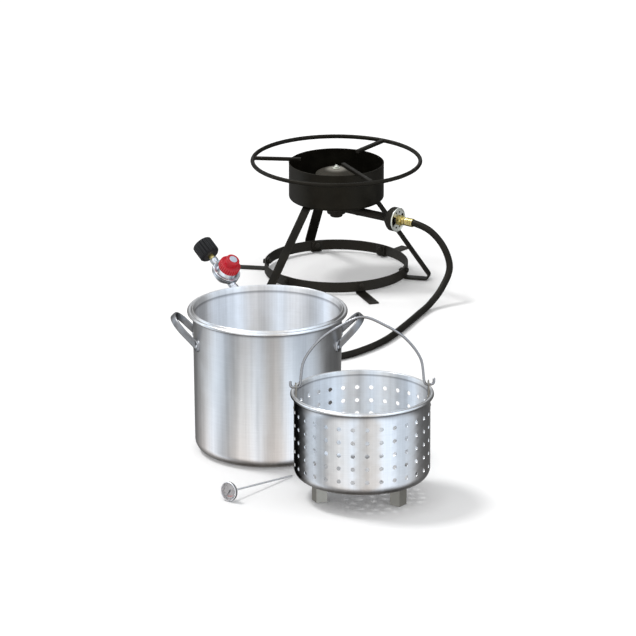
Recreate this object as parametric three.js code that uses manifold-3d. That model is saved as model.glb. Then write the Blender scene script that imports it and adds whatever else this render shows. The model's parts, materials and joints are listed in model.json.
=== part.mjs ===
// Outdoor turkey fryer kit: a gas burner stand with its hose and regulator, a stock pot,
// a perforated lift-out basket and a dial thermometer, all standing on one floor.
// Millimetres, +Z up. The origin is on the floor under the centre of the pot.
import * as THREE from 'three';
import { mergeVertices } from 'three/addons/utils/BufferGeometryUtils.js';
import Module from 'manifold-3d';

const wasm = await Module();
wasm.setup();

// ---- driving dimensions ----
const GAP = 0.3; // clearance between pieces that touch
const SHEET = 1.6; // thickness of the pressed sheet shells
const THROUGH = 10; // how far a cutter runs to each side of what it cuts

const STAND = { x: 158, y: 1300, height: 286 };
const RING = { outer: 206, rod: 5 };
const BAR = { angles: { rear: 55, left: 175, front: 295 }, wide: 10, tall: 8 };
const BAR_INNER = { rear: 88, left: 86, front: 38 }; // the front bar alone reaches in over the burner
const PAN = { radius: 114, height: 90, corner: 8, neckHole: 27 };
const HOOP = { outer: 172.5, tall: 25, thick: 3.5, boltUp: 15 };
const LEG = { angles: { right: -14, rear: 106, front: 226 }, foot: 238, thick: 4, wide: 25 };
const LEG_TAB = { inner: 72, bolt: 87, outer: 102 };
const TAB_ABOVE = 8; // what a strap's upturned end has above the hoop bolt
const STABILISER = { angles: { rear: 50, left: 170, front: 290 }, reach: 262, thick: 3, wide: 25 };
const BOLT = { shank: 3, head: 5.5, headTall: 4, nut: 5.5, nutTall: 5, hole: 3.7 };

const BURNER = {
  neck: 23, flange: 42, waist: 9, bowl: 50, wall: 5, lip: 12, bowlTop: 246, capTop: 262, studTop: 271,
};
const HUB = { low: 149, chamfer: 4, wall: 6, boss: 15, bossLow: 142 };
const VENTURI = { angle: -36, z: 166, tube: 10, bore: 7.5, flare: 145, plate: 177, end: 180 };
const BELL = { radius: 29, wall: 3, cup: 12, windowNear: 10, windowFar: 24, windowHalf: 35 };
const SHUTTER = { thick: 2 };
const FITTING = { nose: 5, noseIn: 168, hex: 11.5, hexLong: 12, barb: 8.5, end: 206 };
const FERRULE = { outer: 10.2, inner: 8.4, length: 20 };
const HOSE = { radius: 8, rest: 8.3 };

const REGULATOR = { x: -104, y: 1050, z: 82, yaw: 132, pitch: 35 };
const REG_BODY = { radius: 34, base: 20, boss: 9, foot: 32, outlet: 56, inlet: 50, flow: -10 };
const REG_BONNET = { flange: 5, dome: 24, top: 12, neck: 11, neckTop: 24, cavity: 19 };
const REG_KNOB = { skirt: 26, skirtLow: 13, skirtTop: 30, grip: 16.5, top: 46 };
const REG_NUT = { low: 60, high: 100, outer: 25, bore: 17, web: 10, back: 8 };

const POT = { base: 164, top: 168.5, height: 332, corner: 27, wall: 2.5 };
const POT_RIM = { outer: 181, tall: 12 };
const HANDLE = { foot: 48, footZ: 258, tip: 212, slope: 46, thick: 5, deep: 15 };
const HANDLE_PLATE = { wide: 38, tall: 26, thick: 4 };
const RIVET = { shank: 2.6, head: 4.6, headTall: 2.6, hole: 3.1, spread: 13 };

const BASKET = { x: 212, y: -331, yaw: 4, radius: 152, floor: 45, height: 198, corner: 25 };
const BASKET_RIM = { outer: 160, tall: 9 };
const BASKET_LEG = { angles: { right: -42, rear: 78, left: 198 }, radius: 102, wide: 27, deep: 26, wall: 2 };
const EAR = { half: 12, thick: 3, below: 46, above: 22, inner: 146.2 };
const BAIL = { rod: 3, pivot: 14, hole: 3.7, reach: 160, turn: 143 };

const NEEDLE_REST = 30; // degrees round from pointing straight down
const DIAL = { x: -86, y: -374, yaw: 50, radius: 22, deep: 9, wall: 1.2, stem: 2, length: 224 };

// ---- materials ----
const finish = (color, roughness, metalness) =>
  new THREE.MeshStandardMaterial({ color, roughness, metalness });
const blackPaint = finish(0x1c1b19, 0.5, 0.3);
const castIron = finish(0x2b2925, 0.75, 0.5);
const burnerIron = finish(0x6a665d, 0.7, 0.5);
const zinc = finish(0xb9b9b2, 0.4, 0.9);
const brass = finish(0xa8985a, 0.35, 0.9);
const rubber = finish(0x211e1b, 0.8, 0);
const dieCast = finish(0x98a1a6, 0.35, 0.9);
const redPlastic = finish(0xa0222e, 0.4, 0);
const blackPlastic = finish(0x2b2a2e, 0.6, 0);
const aluminium = finish(0xcfd3d6, 0.35, 0.9);
const stainless = finish(0xc4c4c4, 0.25, 1);
const glass = new THREE.MeshStandardMaterial({
  color: 0xeaf2f5, roughness: 0.05, metalness: 0, transparent: true, opacity: 0.35,
});
const white = finish(0xf2f2ee, 0.6, 0);

// ---- geometry helpers ----
const RADIANS = Math.PI / 180;
const UP = new THREE.Vector3(0, 0, 1);
const v3 = (x, y, z) => new THREE.Vector3(x, y, z);
const heading = (degrees) => v3(Math.cos(degrees * RADIANS), Math.sin(degrees * RADIANS), 0);

// Points on an arc about [centre r, centre z], from one angle to the other.
function arc(r, z, radius, from, to, steps = 4) {
  return Array.from({ length: steps + 1 }, (_, i) => {
    const a = (from + ((to - from) * i) / steps) * RADIANS;
    return [r + radius * Math.cos(a), z + radius * Math.sin(a)];
  });
}

// A body of revolution about Z. The outline runs up the outside and back down the inside.
function revolve(outline, sides) {
  const points = outline.map(([r, z]) => new THREE.Vector2(r, z));
  return new THREE.LatheGeometry(points, sides).rotateX(Math.PI / 2);
}

// A solid disc or rod along Z between two heights.
const disc = (radius, low, high, sides) =>
  revolve([[0, low], [radius, low], [radius, high], [0, high]], sides);

// A round rod that follows a curve.
function rodAlong(curve, radius, sides, steps) {
  const section = new THREE.Shape(new THREE.EllipseCurve(0, 0, radius, radius).getSpacedPoints(sides));
  return new THREE.ExtrudeGeometry(section, { extrudePath: curve, steps, bevelEnabled: false });
}

const smooth = (points) => new THREE.CatmullRomCurve3(points, false, 'centripetal');

// The outline of a strap of even thickness whose centre line runs through the given points.
function strapOutline(line, thick) {
  const points = line.map(([x, y]) => new THREE.Vector2(x, y));
  const normals = points.slice(1).map((p, i) => {
    const along = p.clone().sub(points[i]).normalize();
    return new THREE.Vector2(-along.y, along.x);
  });
  const offset = points.map((p, i) => {
    const before = normals[Math.max(i - 1, 0)];
    const after = normals[Math.min(i, normals.length - 1)];
    const mitre = before.clone().add(after).normalize();
    return mitre.multiplyScalar(thick / 2 / mitre.dot(after));
  });
  const left = points.map((p, i) => p.clone().add(offset[i]));
  const right = points.map((p, i) => p.clone().sub(offset[i]));
  return new THREE.Shape([...left, ...right.reverse()]);
}

// A flat strap bent in the upright plane through Z: line holds [distance from the axis, height].
function bentStrap(line, thick, wide) {
  const options = { depth: wide, bevelEnabled: false };
  return new THREE.ExtrudeGeometry(strapOutline(line, thick), options)
    .translate(0, 0, -wide / 2)
    .rotateX(Math.PI / 2);
}

// Turns a geometry made along Z so that it runs along a direction from a point.
function aim(geometry, from, direction) {
  const turn = new THREE.Quaternion().setFromUnitVectors(UP, direction.clone().normalize());
  return geometry.applyQuaternion(turn).translate(from.x, from.y, from.z);
}

function toSolid(geometry) {
  const bare = geometry.clone().deleteAttribute('normal').deleteAttribute('uv');
  const merged = mergeVertices(bare, 1e-4);
  return new wasm.Manifold(new wasm.Mesh({
    numProp: 3,
    vertProperties: merged.attributes.position.array,
    triVerts: new Uint32Array(merged.index.array),
  }));
}

function toGeometry(solid) {
  const mesh = solid.getMesh();
  const geometry = new THREE.BufferGeometry();
  geometry.setAttribute('position', new THREE.BufferAttribute(mesh.vertProperties, 3));
  geometry.setIndex(new THREE.BufferAttribute(mesh.triVerts, 1));
  geometry.computeVertexNormals();
  return geometry;
}

// Joins the first list of geometries into one body and cuts the second list away.
function combine(joined, cut = []) {
  const body = joined.map(toSolid).reduce((all, next) => all.add(next));
  return toGeometry(cut.map(toSolid).reduce((all, next) => all.subtract(next), body));
}

const drill = (from, direction, radius, length, sides = 8) =>
  aim(disc(radius, 0, length, sides), from, direction);

function piece(name, geometry, material) {
  const mesh = new THREE.Mesh(geometry, material);
  mesh.name = name;
  return mesh;
}

// A hexagon bolt with its nut done up: Z = 0 is the face under the head.
function boltGeometry(grip) {
  return revolve([
    [0, -BOLT.headTall], [BOLT.head, -BOLT.headTall], [BOLT.head, 0], [BOLT.shank, 0],
    [BOLT.shank, grip], [BOLT.nut, grip], [BOLT.nut, grip + BOLT.nutTall], [0, grip + BOLT.nutTall],
  ], 6);
}

function bolt(name, from, inward, grip) {
  return piece(name, aim(boltGeometry(grip), from, inward), zinc);
}

// ---- burner stand ----
const ringRadius = RING.outer - RING.rod;
const panTop = STAND.height - BAR.tall - GAP;
const panLow = panTop - PAN.height;
const hoopInner = HOOP.outer - HOOP.thick;
const hoopTabFace = Math.sqrt(hoopInner ** 2 - (LEG.wide / 2) ** 2) - GAP;
const hoopLow = LEG.thick + GAP;
const hoopBoltZ = hoopLow + HOOP.boltUp;
const legTabZ = panLow - GAP - LEG.thick / 2;

function potRing() {
  const ring = new THREE.TorusGeometry(ringRadius, RING.rod, 8, 56);
  return piece('pot_ring', ring.translate(0, 0, STAND.height - RING.rod), blackPaint);
}

function supportBar(place, angle) {
  const outer = ringRadius - RING.rod - GAP * 2;
  const inner = BAR_INNER[place];
  const bar = new THREE.BoxGeometry(outer - inner, BAR.wide, BAR.tall);
  const mesh = piece('support_bar_' + place, bar, blackPaint);
  mesh.position.copy(heading(angle)).multiplyScalar((outer + inner) / 2);
  mesh.position.z = STAND.height - BAR.tall / 2;
  mesh.rotation.z = angle * RADIANS;
  return mesh;
}

function windGuardPan() {
  const inside = PAN.corner - SHEET;
  const centre = PAN.radius - PAN.corner;
  const shell = revolve([
    [PAN.neckHole, panLow],
    ...arc(centre, panLow + PAN.corner, PAN.corner, -90, 0, 3),
    [PAN.radius, panTop], [PAN.radius - SHEET, panTop],
    ...arc(centre, panLow + PAN.corner, inside, 0, -90, 3),
    [PAN.neckHole, panLow + SHEET], [PAN.neckHole, panLow],
  ], 36);
  const holes = Object.values(LEG.angles).map((angle) => {
    const from = heading(angle).multiplyScalar(LEG_TAB.bolt).setZ(panLow - THROUGH);
    return drill(from, UP, BOLT.hole, 2 * THROUGH);
  });
  return piece('wind_guard_pan', combine([shell], holes), blackPaint);
}

// Burner bowl, mixing tube and air bell cast as one piece; the bell ends in a plate with windows.
function burnerCasting() {
  const { neck, flange, bowl, wall, lip, bowlTop } = BURNER;
  const { low, chamfer, boss, bossLow } = HUB;
  const out = heading(VENTURI.angle);
  const axis = v3(0, 0, VENTURI.z);
  const floor = panLow + SHEET + GAP;
  const waist = floor + BURNER.waist;
  const cast = revolve([
    [0, bossLow], [boss, bossLow], [boss, low], [neck - chamfer, low], [neck, low + chamfer],
    [neck, floor], [flange, floor], [flange, floor + wall], [neck + wall, waist],
    [bowl, bowlTop - lip], [bowl, bowlTop], [0, bowlTop],
  ], 24);
  const hollow = revolve([
    [0, low + HUB.wall], [neck - HUB.wall, low + HUB.wall + chamfer], [neck - HUB.wall, waist],
    [bowl - wall, bowlTop - lip + wall / 2], [bowl - wall, bowlTop + 1], [0, bowlTop + 1],
  ], 20);
  const bell = revolve([
    [0, 0], [VENTURI.tube, 0], [VENTURI.tube, VENTURI.flare], [BELL.radius, VENTURI.plate - BELL.cup],
    [BELL.radius, VENTURI.end], [0, VENTURI.end],
  ], 16);
  const bellHollow = revolve([
    [0, neck - 8], [VENTURI.bore, neck - 8], [VENTURI.bore, VENTURI.flare + BELL.wall],
    [BELL.radius - BELL.wall, VENTURI.plate - BELL.cup + BELL.wall], [BELL.radius - BELL.wall, VENTURI.plate],
    [0, VENTURI.plate],
  ], 12);
  const cut = [hollow, aim(bellHollow, axis, out), ...airWindows(VENTURI.plate - 2, 8)];
  cut.push(drill(axis, out, FITTING.nose + GAP * 2, VENTURI.end + 5, 12));
  return piece('burner_casting', combine([cast, aim(bell, axis, out)], cut), castIron);
}

// Two fan-shaped cutters on the venturi's axis, which start at a distance along it.
function airWindows(start, depth) {
  const halfAngle = BELL.windowHalf * RADIANS;
  const out = heading(VENTURI.angle);
  return [0, Math.PI].map((middle) => {
    const fan = new THREE.Shape();
    fan.absarc(0, 0, BELL.windowFar, middle - halfAngle, middle + halfAngle, false);
    fan.absarc(0, 0, BELL.windowNear, middle + halfAngle, middle - halfAngle, true);
    const cutter = new THREE.ExtrudeGeometry(fan, { depth, curveSegments: 3, bevelEnabled: false });
    const from = out.clone().multiplyScalar(start).setZ(VENTURI.z);
    return aim(cutter, from, out);
  });
}

function airShutter() {
  const out = heading(VENTURI.angle);
  const near = VENTURI.end + GAP;
  const plate = aim(disc(BELL.radius, near, near + SHUTTER.thick, 20), v3(0, 0, VENTURI.z), out);
  const cut = airWindows(near - 1, SHUTTER.thick + 2);
  cut.push(drill(v3(0, 0, VENTURI.z), out, FITTING.nose + GAP * 2, VENTURI.end + 10, 12));
  return piece('air_shutter', combine([plate], cut), zinc);
}

// Gas jet: a threaded nose through the shutter and the bell plate, with a hexagon behind it.
function orificeFitting() {
  const collar = VENTURI.end + SHUTTER.thick + GAP * 2;
  const jet = revolve([
    [0, FITTING.noseIn], [FITTING.nose - 2, FITTING.noseIn], [FITTING.nose, FITTING.noseIn + 3],
    [FITTING.nose, collar], [FITTING.hex, collar], [FITTING.hex, collar + FITTING.hexLong],
    [FITTING.barb, collar + FITTING.hexLong + 1], [FITTING.barb, FITTING.end], [0, FITTING.end],
  ], 12);
  const mesh = aim(jet, v3(0, 0, VENTURI.z), heading(VENTURI.angle));
  return piece('orifice_fitting', mesh, brass);
}

// Domed burner cap with a skirt that sits inside the bowl, bolted down through its centre.
function burnerCap() {
  const low = BURNER.bowlTop + GAP;
  const dome = revolve([
    [BOLT.hole, low], [BURNER.bowl - 2, low], [BURNER.bowl, low + 3], [BURNER.bowl - 8, low + 8],
    [BURNER.bowl - 26, BURNER.capTop - 2], [BOLT.hole, BURNER.capTop], [BOLT.hole, low],
  ], 24);
  return piece('burner_cap', dome, burnerIron);
}

// The stud that holds the cap down, with its nut run on at the top.
function burnerStud() {
  const { capTop, studTop, bowlTop } = BURNER;
  return piece('burner_stud', revolve([
    [0, bowlTop - 20], [BOLT.shank, bowlTop - 20], [BOLT.shank, capTop + GAP], [BOLT.nut, capTop + GAP],
    [BOLT.nut, capTop + BOLT.nutTall], [BOLT.shank, capTop + BOLT.nutTall], [BOLT.shank, studTop],
    [0, studTop],
  ], 6), zinc);
}

function ferrule(name, from, direction) {
  const sleeve = revolve([
    [FERRULE.inner, 0], [FERRULE.outer, 0], [FERRULE.outer, FERRULE.length],
    [FERRULE.inner, FERRULE.length], [FERRULE.inner, 0],
  ], 12);
  return piece(name, aim(sleeve, from, direction), brass);
}

function leg(place, angle) {
  const foot = LEG.thick / 2;
  const tab = hoopTabFace - LEG.thick / 2;
  const line = [
    [LEG_TAB.inner, legTabZ], [LEG_TAB.outer, legTabZ], [LEG.foot, foot], [tab, foot],
    [tab, hoopBoltZ + TAB_ABOVE],
  ];
  const holes = [
    drill(v3(LEG_TAB.bolt, 0, legTabZ - THROUGH), UP, BOLT.hole, 2 * THROUGH),
    drill(v3(tab - THROUGH, 0, hoopBoltZ), heading(0), BOLT.hole, 2 * THROUGH),
  ];
  const mesh = piece('leg_' + place, combine([bentStrap(line, LEG.thick, LEG.wide)], holes), blackPaint);
  mesh.rotation.z = angle * RADIANS;
  return mesh;
}

function stabiliser(place, angle) {
  const floor = STABILISER.thick / 2;
  const tab = hoopTabFace - STABILISER.thick / 2;
  const line = [[STABILISER.reach, floor], [tab, floor], [tab, hoopBoltZ + TAB_ABOVE]];
  const hole = drill(v3(tab - THROUGH, 0, hoopBoltZ), heading(0), BOLT.hole, 2 * THROUGH);
  const strap = combine([bentStrap(line, STABILISER.thick, STABILISER.wide)], [hole]);
  const mesh = piece('stabiliser_' + place, strap, blackPaint);
  mesh.rotation.z = angle * RADIANS;
  return mesh;
}

function baseHoop() {
  const band = revolve([
    [hoopInner, hoopLow], [HOOP.outer, hoopLow], [HOOP.outer, hoopLow + HOOP.tall],
    [hoopInner, hoopLow + HOOP.tall], [hoopInner, hoopLow],
  ], 60);
  const angles = [...Object.values(LEG.angles), ...Object.values(STABILISER.angles)];
  const holes = angles.map((angle) => {
    const out = heading(angle);
    const from = out.clone().multiplyScalar(hoopInner - THROUGH).setZ(hoopBoltZ);
    return drill(from, out, BOLT.hole, 2 * THROUGH);
  });
  return piece('base_hoop', combine([band], holes), blackPaint);
}

// A bolt from outside the hoop, through it and the strap's upturned end.
function hoopBolt(name, angle, strapThick) {
  const out = heading(angle);
  const from = out.clone().multiplyScalar(HOOP.outer + GAP).setZ(hoopBoltZ);
  return bolt(name, from, out.negate(), HOOP.outer - hoopTabFace + strapThick + GAP * 2);
}

// A bolt up through the leg's tab and the pan's floor.
function legBolt(place, angle) {
  const from = heading(angle).multiplyScalar(LEG_TAB.bolt).setZ(legTabZ - LEG.thick / 2 - GAP);
  return bolt('leg_bolt_' + place, from, UP, LEG.thick + SHEET + GAP * 3);
}

function burnerStand() {
  const stand = new THREE.Group();
  stand.position.set(STAND.x, STAND.y, 0);
  stand.add(potRing(), windGuardPan(), baseHoop());
  stand.add(burnerCasting(), burnerCap(), burnerStud(), airShutter(), orificeFitting());
  for (const [place, angle] of Object.entries(BAR.angles)) stand.add(supportBar(place, angle));
  for (const [place, angle] of Object.entries(LEG.angles)) {
    stand.add(leg(place, angle), legBolt(place, angle));
    stand.add(hoopBolt('leg_hoop_bolt_' + place, angle, LEG.thick));
  }
  for (const [place, angle] of Object.entries(STABILISER.angles)) {
    stand.add(stabiliser(place, angle), hoopBolt('stabiliser_bolt_' + place, angle, STABILISER.thick));
  }
  const out = heading(VENTURI.angle);
  const fittingEnd = out.clone().multiplyScalar(FITTING.end + GAP).setZ(VENTURI.z);
  stand.add(ferrule('hose_ferrule_burner', fittingEnd, out));
  return stand;
}

// ---- hose and regulator ----
function regulatorFrame() {
  const frame = new THREE.Group();
  frame.position.set(REGULATOR.x, REGULATOR.y, REGULATOR.z);
  frame.rotation.set(0, -REGULATOR.pitch * RADIANS, REGULATOR.yaw * RADIANS, 'ZYX');
  frame.updateMatrixWorld(true);
  return frame;
}

// The hose leaves the burner level, droops to the floor, and curls back to the regulator.
function gasHose(frame) {
  const out = heading(VENTURI.angle);
  const fromBurner = (distance) =>
    out.clone().multiplyScalar(distance).add(v3(STAND.x, STAND.y, VENTURI.z));
  const fromRegulator = (distance) => v3(-distance, 0, REG_BODY.flow).applyMatrix4(frame.matrixWorld);
  const start = FITTING.end + GAP * 2;
  const end = REG_BODY.outlet + GAP * 2;
  const straight = [0, FERRULE.length / 2, FERRULE.length, FERRULE.length * 1.3];
  const droop = [[382, 1136, 155], [414, 1110, 122], [427, 1086, 80], [408, 1052, 40], [380, 1012, 14]];
  const floor = [
    [352, 950], [318, 860], [276, 761], [232, 694], [178, 640], [114, 612], [52, 632],
    [14, 700], [-2, 790], [-6, 880], [-16, 945],
  ];
  const rise = [[-28, 968, 9], [-38, 982, 11.5]];
  const curve = smooth([
    ...straight.map((distance) => fromBurner(start + distance)),
    ...droop.map(([x, y, z]) => v3(x, y, z)),
    ...floor.map(([x, y]) => v3(x, y, HOSE.rest)),
    ...rise.map(([x, y, z]) => v3(x, y, z)),
    ...straight.map((distance) => fromRegulator(end + distance)).reverse(),
  ]);
  return piece('gas_hose', rodAlong(curve, HOSE.radius, 7, 96), rubber);
}

// Turns a geometry made along Z onto the regulator's gas passage.
const alongFlow = (geometry) => aim(geometry, v3(0, 0, REG_BODY.flow), heading(0));

function regulatorBody() {
  const { radius, base, boss, foot, outlet, inlet } = REG_BODY;
  const dish = revolve([
    [0, -foot], [9, -foot], [12, -base - 3], [22, -base], [radius, -7], [radius, 0], [0, 0],
  ], 24);
  const ports = alongFlow(revolve([
    [0, -outlet], [boss - 2, -outlet], [boss - 2, -outlet + 6], [boss, -outlet + 10],
    [boss, inlet - 8], [boss, inlet], [0, inlet],
  ], 12));
  const chamber = disc(REG_BONNET.cavity, -4, 4, 16);
  return piece('regulator_body', combine([dish, ports], [chamber]), dieCast);
}

function regulatorBonnet() {
  const { flange, dome, top, neck, neckTop, cavity } = REG_BONNET;
  const low = 1.2;
  const shell = revolve([
    [cavity, low], [REG_BODY.radius, low], [REG_BODY.radius, flange], [dome + 3, flange + 1], [dome, top],
    [neck, top], [neck, neckTop], [neck - 3, neckTop], [neck - 3, top - 3], [cavity, top - 5], [cavity, low],
  ], 24);
  return piece('regulator_bonnet', shell, dieCast);
}

function regulatorDiaphragm() {
  return piece('regulator_diaphragm', disc(REG_BODY.radius - 2, GAP, 0.9, 20), rubber);
}

class Helix extends THREE.Curve {
  constructor(radius, low, high, turns) {
    super();
    Object.assign(this, { radius, low, high, turns });
  }

  getPoint(t, target = new THREE.Vector3()) {
    const a = t * this.turns * 2 * Math.PI;
    const z = this.low + (this.high - this.low) * t;
    return target.set(this.radius * Math.cos(a), this.radius * Math.sin(a), z);
  }
}

function regulatorSpring() {
  const coil = new Helix(5.5, 2.4, REG_BONNET.neckTop - 3, 4);
  return piece('regulator_spring', rodAlong(coil, 0.9, 4, 40), stainless);
}

function pressureKnob() {
  const { skirt, skirtLow, skirtTop, grip, top } = REG_KNOB;
  const inside = REG_BONNET.neck + 1.5;
  const cap = revolve([
    [inside, skirtLow], [skirt, skirtLow], [skirt, skirtTop - 3], [skirt - 3, skirtTop], [grip, skirtTop + 1],
    [grip, top - 3], [grip - 3, top], [0, top], [0, REG_BONNET.neckTop + 2], [inside, REG_BONNET.neckTop + 2],
    [inside, skirtLow],
  ], 24);
  return piece('pressure_knob', cap, redPlastic);
}

function inletNipple() {
  const { web, back, high } = REG_NUT;
  const low = REG_BODY.inlet + GAP;
  const stub = alongFlow(revolve([
    [0, low], [back - 1, low], [back - 1, REG_NUT.low + 6], [web, REG_NUT.low + 7],
    [web, REG_NUT.low + 12], [back - 1, REG_NUT.low + 13], [back - 3, high - 4], [0, high - 1],
  ], 12));
  return piece('inlet_nipple', stub, brass);
}

function couplingNut() {
  const { low, high, outer, bore, back } = REG_NUT;
  const wheel = alongFlow(revolve([
    [back, low], [outer - 5, low], [outer, low + 5], [outer, high - 2], [outer - 2, high], [bore, high],
    [bore, low + 6], [back, low + 5], [back, low],
  ], 20));
  return piece('coupling_nut', wheel, blackPlastic);
}

function regulator(frame) {
  frame.add(regulatorBody(), regulatorBonnet(), regulatorDiaphragm(), regulatorSpring());
  frame.add(pressureKnob(), inletNipple(), couplingNut());
  const outletEnd = v3(-REG_BODY.outlet - GAP, 0, REG_BODY.flow);
  frame.add(ferrule('hose_ferrule_regulator', outletEnd, v3(-1, 0, 0)));
  return frame;
}

// ---- stock pot ----
const potRadius = (z) => POT.base + ((POT.top - POT.base) * z) / POT.height;

function potShell() {
  const { base, height, corner, wall, top } = POT;
  const beadLow = height - POT_RIM.tall;
  return piece('pot_shell', revolve([
    [0, 0], ...arc(base - corner, corner, corner, -90, 0, 3),
    [top, beadLow], [POT_RIM.outer - 2, beadLow + 1], [POT_RIM.outer, beadLow + 4],
    [POT_RIM.outer, height - 2], [POT_RIM.outer - 3, height],
    [top - wall, height], ...arc(base - corner, corner, corner - wall, 0, -90, 3), [0, wall],
  ], 48), aluminium);
}

// The wall direction at each foot of a handle, for the handle on the +X side.
const handleWall = potRadius(HANDLE.footZ);
const footBearing = Math.asin(HANDLE.foot / handleWall) / RADIANS;
const footDirections = [heading(-footBearing), heading(footBearing)];

// The place on the pot's wall where each rivet passes through, two to a foot.
function rivetPlaces() {
  return footDirections.flatMap((out) => {
    const aside = v3(-out.y, out.x, 0);
    return [-RIVET.spread, RIVET.spread].map((offset) => {
      const from = out.clone().multiplyScalar(handleWall).addScaledVector(aside, offset);
      return { out, from: from.setZ(HANDLE.footZ) };
    });
  });
}

// A cast loop grip that leans out and up between two flat feet riveted to the wall.
function handleGeometry() {
  const footX = Math.sqrt(handleWall ** 2 - HANDLE.foot ** 2);
  const reach = (HANDLE.tip - footX) / Math.cos(HANDLE.slope * RADIANS);
  const half = [[0, HANDLE.foot], [reach * 0.3, HANDLE.foot - 2], [reach * 0.78, HANDLE.foot - 9]];
  const loop = [
    ...half.map(([u, v]) => v3(u, -v, 0)), v3(reach, 0, 0), ...half.map(([u, v]) => v3(u, v, 0)).reverse(),
  ];
  const [x, y] = [HANDLE.deep / 2, HANDLE.thick / 2];
  const section = new THREE.Shape([[-x, -y], [x, -y], [x, y], [-x, y]].map((p) => new THREE.Vector2(...p)));
  const options = { extrudePath: smooth(loop), steps: 24, bevelEnabled: false };
  const grip = new THREE.ExtrudeGeometry(section, options);
  grip.rotateY(-HANDLE.slope * RADIANS).translate(footX, 0, HANDLE.footZ);
  const plates = footDirections.map((out) => {
    const plate = new THREE.BoxGeometry(HANDLE_PLATE.wide, HANDLE_PLATE.tall, HANDLE_PLATE.thick);
    plate.rotateZ(Math.PI / 2);
    const middle = out.clone().multiplyScalar(handleWall + HANDLE_PLATE.thick / 2 - 0.5);
    return aim(plate, middle.setZ(HANDLE.footZ), out);
  });
  const potBody = disc(handleWall + GAP * 2, HANDLE.footZ - 60, POT.height, 60);
  const holes = rivetPlaces().map(({ out, from }) => drill(from, out, RIVET.hole, 40, 6));
  return combine([grip, ...plates], [potBody, ...holes]);
}

function potHandle(place, turn) {
  const mesh = piece('pot_handle_' + place, handleGeometry(), aluminium);
  mesh.rotation.z = turn;
  return mesh;
}

function handleRivets(place, turn) {
  const group = new THREE.Group();
  group.rotation.z = turn;
  const seat = HANDLE_PLATE.thick - 0.5 + GAP;
  const outline = [
    [0, GAP * 2], [RIVET.shank, GAP * 2], [RIVET.shank, seat], [RIVET.head, seat],
    [RIVET.head * 0.7, seat + RIVET.headTall], [0, seat + RIVET.headTall],
  ];
  rivetPlaces().forEach(({ out, from }, i) => {
    group.add(piece(`handle_rivet_${place}_${i + 1}`, aim(revolve(outline, 8), from, out), aluminium));
  });
  return group;
}

function stockPot() {
  const pot = new THREE.Group();
  pot.add(potShell());
  for (const [place, turn] of [['right', 0], ['left', Math.PI]]) {
    pot.add(potHandle(place, turn), handleRivets(place, turn));
  }
  return pot;
}

// ---- lift-out basket ----
const basketTop = BASKET.floor + BASKET.height;
const pivotZ = basketTop + BAIL.pivot;

function basketShell() {
  const { radius, floor, corner } = BASKET;
  return piece('basket_shell', revolve([
    [0, floor], ...arc(radius - corner, floor + corner, corner, -90, 0, 3),
    [radius, basketTop - BASKET_RIM.tall], [BASKET_RIM.outer, basketTop - BASKET_RIM.tall + 1],
    [BASKET_RIM.outer, basketTop - 1], [BASKET_RIM.outer - 2, basketTop], [radius - SHEET, basketTop],
    ...arc(radius - corner, floor + corner, corner - SHEET, 0, -90, 3), [0, floor + SHEET],
  ], 48), aluminium);
}

// A channel leg under the basket's floor, its web facing outwards.
function basketLeg(place, angle) {
  const { wide, deep, wall, radius } = BASKET_LEG;
  const section = new THREE.Shape([
    new THREE.Vector2(0, -wide / 2), new THREE.Vector2(0, wide / 2), new THREE.Vector2(-deep, wide / 2),
    new THREE.Vector2(-deep, wide / 2 - wall), new THREE.Vector2(-wall, wide / 2 - wall),
    new THREE.Vector2(-wall, -wide / 2 + wall), new THREE.Vector2(-deep, -wide / 2 + wall),
    new THREE.Vector2(-deep, -wide / 2),
  ]);
  const channel = new THREE.ExtrudeGeometry(section, { depth: BASKET.floor - GAP, bevelEnabled: false });
  const mesh = piece('basket_leg_' + place, channel, aluminium);
  mesh.position.copy(heading(angle)).multiplyScalar(radius + deep / 2);
  mesh.rotation.z = angle * RADIANS;
  return mesh;
}

function bailEar(place, turn) {
  const height = EAR.below + EAR.above;
  const plate = new THREE.BoxGeometry(EAR.thick, EAR.half * 2, height)
    .translate(EAR.inner + EAR.thick / 2, 0, basketTop - EAR.below + height / 2);
  const hole = drill(v3(EAR.inner - 5, 0, pivotZ), heading(0), BAIL.hole, 15, 12);
  const mesh = piece('bail_ear_' + place, combine([plate], [hole]), aluminium);
  mesh.rotation.z = turn;
  return mesh;
}

// The bail wire passes out through both ears and its ends hook upwards.
function bail() {
  const side = [
    [BAIL.turn + 17, 13], [BAIL.turn + 16, 3], [BAIL.turn + 12, 0], [BAIL.turn + 5, 0], [BAIL.turn, 0],
    [BAIL.turn - 4, 5], [130, 60], [96, 108], [50, 140],
  ];
  const points = [...side, [0, BAIL.reach], ...side.map(([x, z]) => [-x, z]).reverse()];
  const path = smooth(points.map(([x, z]) => v3(x, 0, pivotZ + z)));
  return piece('bail', rodAlong(path, BAIL.rod, 7, 64), stainless);
}

function basket() {
  const group = new THREE.Group();
  group.position.set(BASKET.x, BASKET.y, 0);
  group.rotation.z = BASKET.yaw * RADIANS;
  group.add(basketShell(), bail(), bailEar('right', 0), bailEar('left', Math.PI));
  for (const [place, angle] of Object.entries(BASKET_LEG.angles)) group.add(basketLeg(place, angle));
  return group;
}

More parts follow.
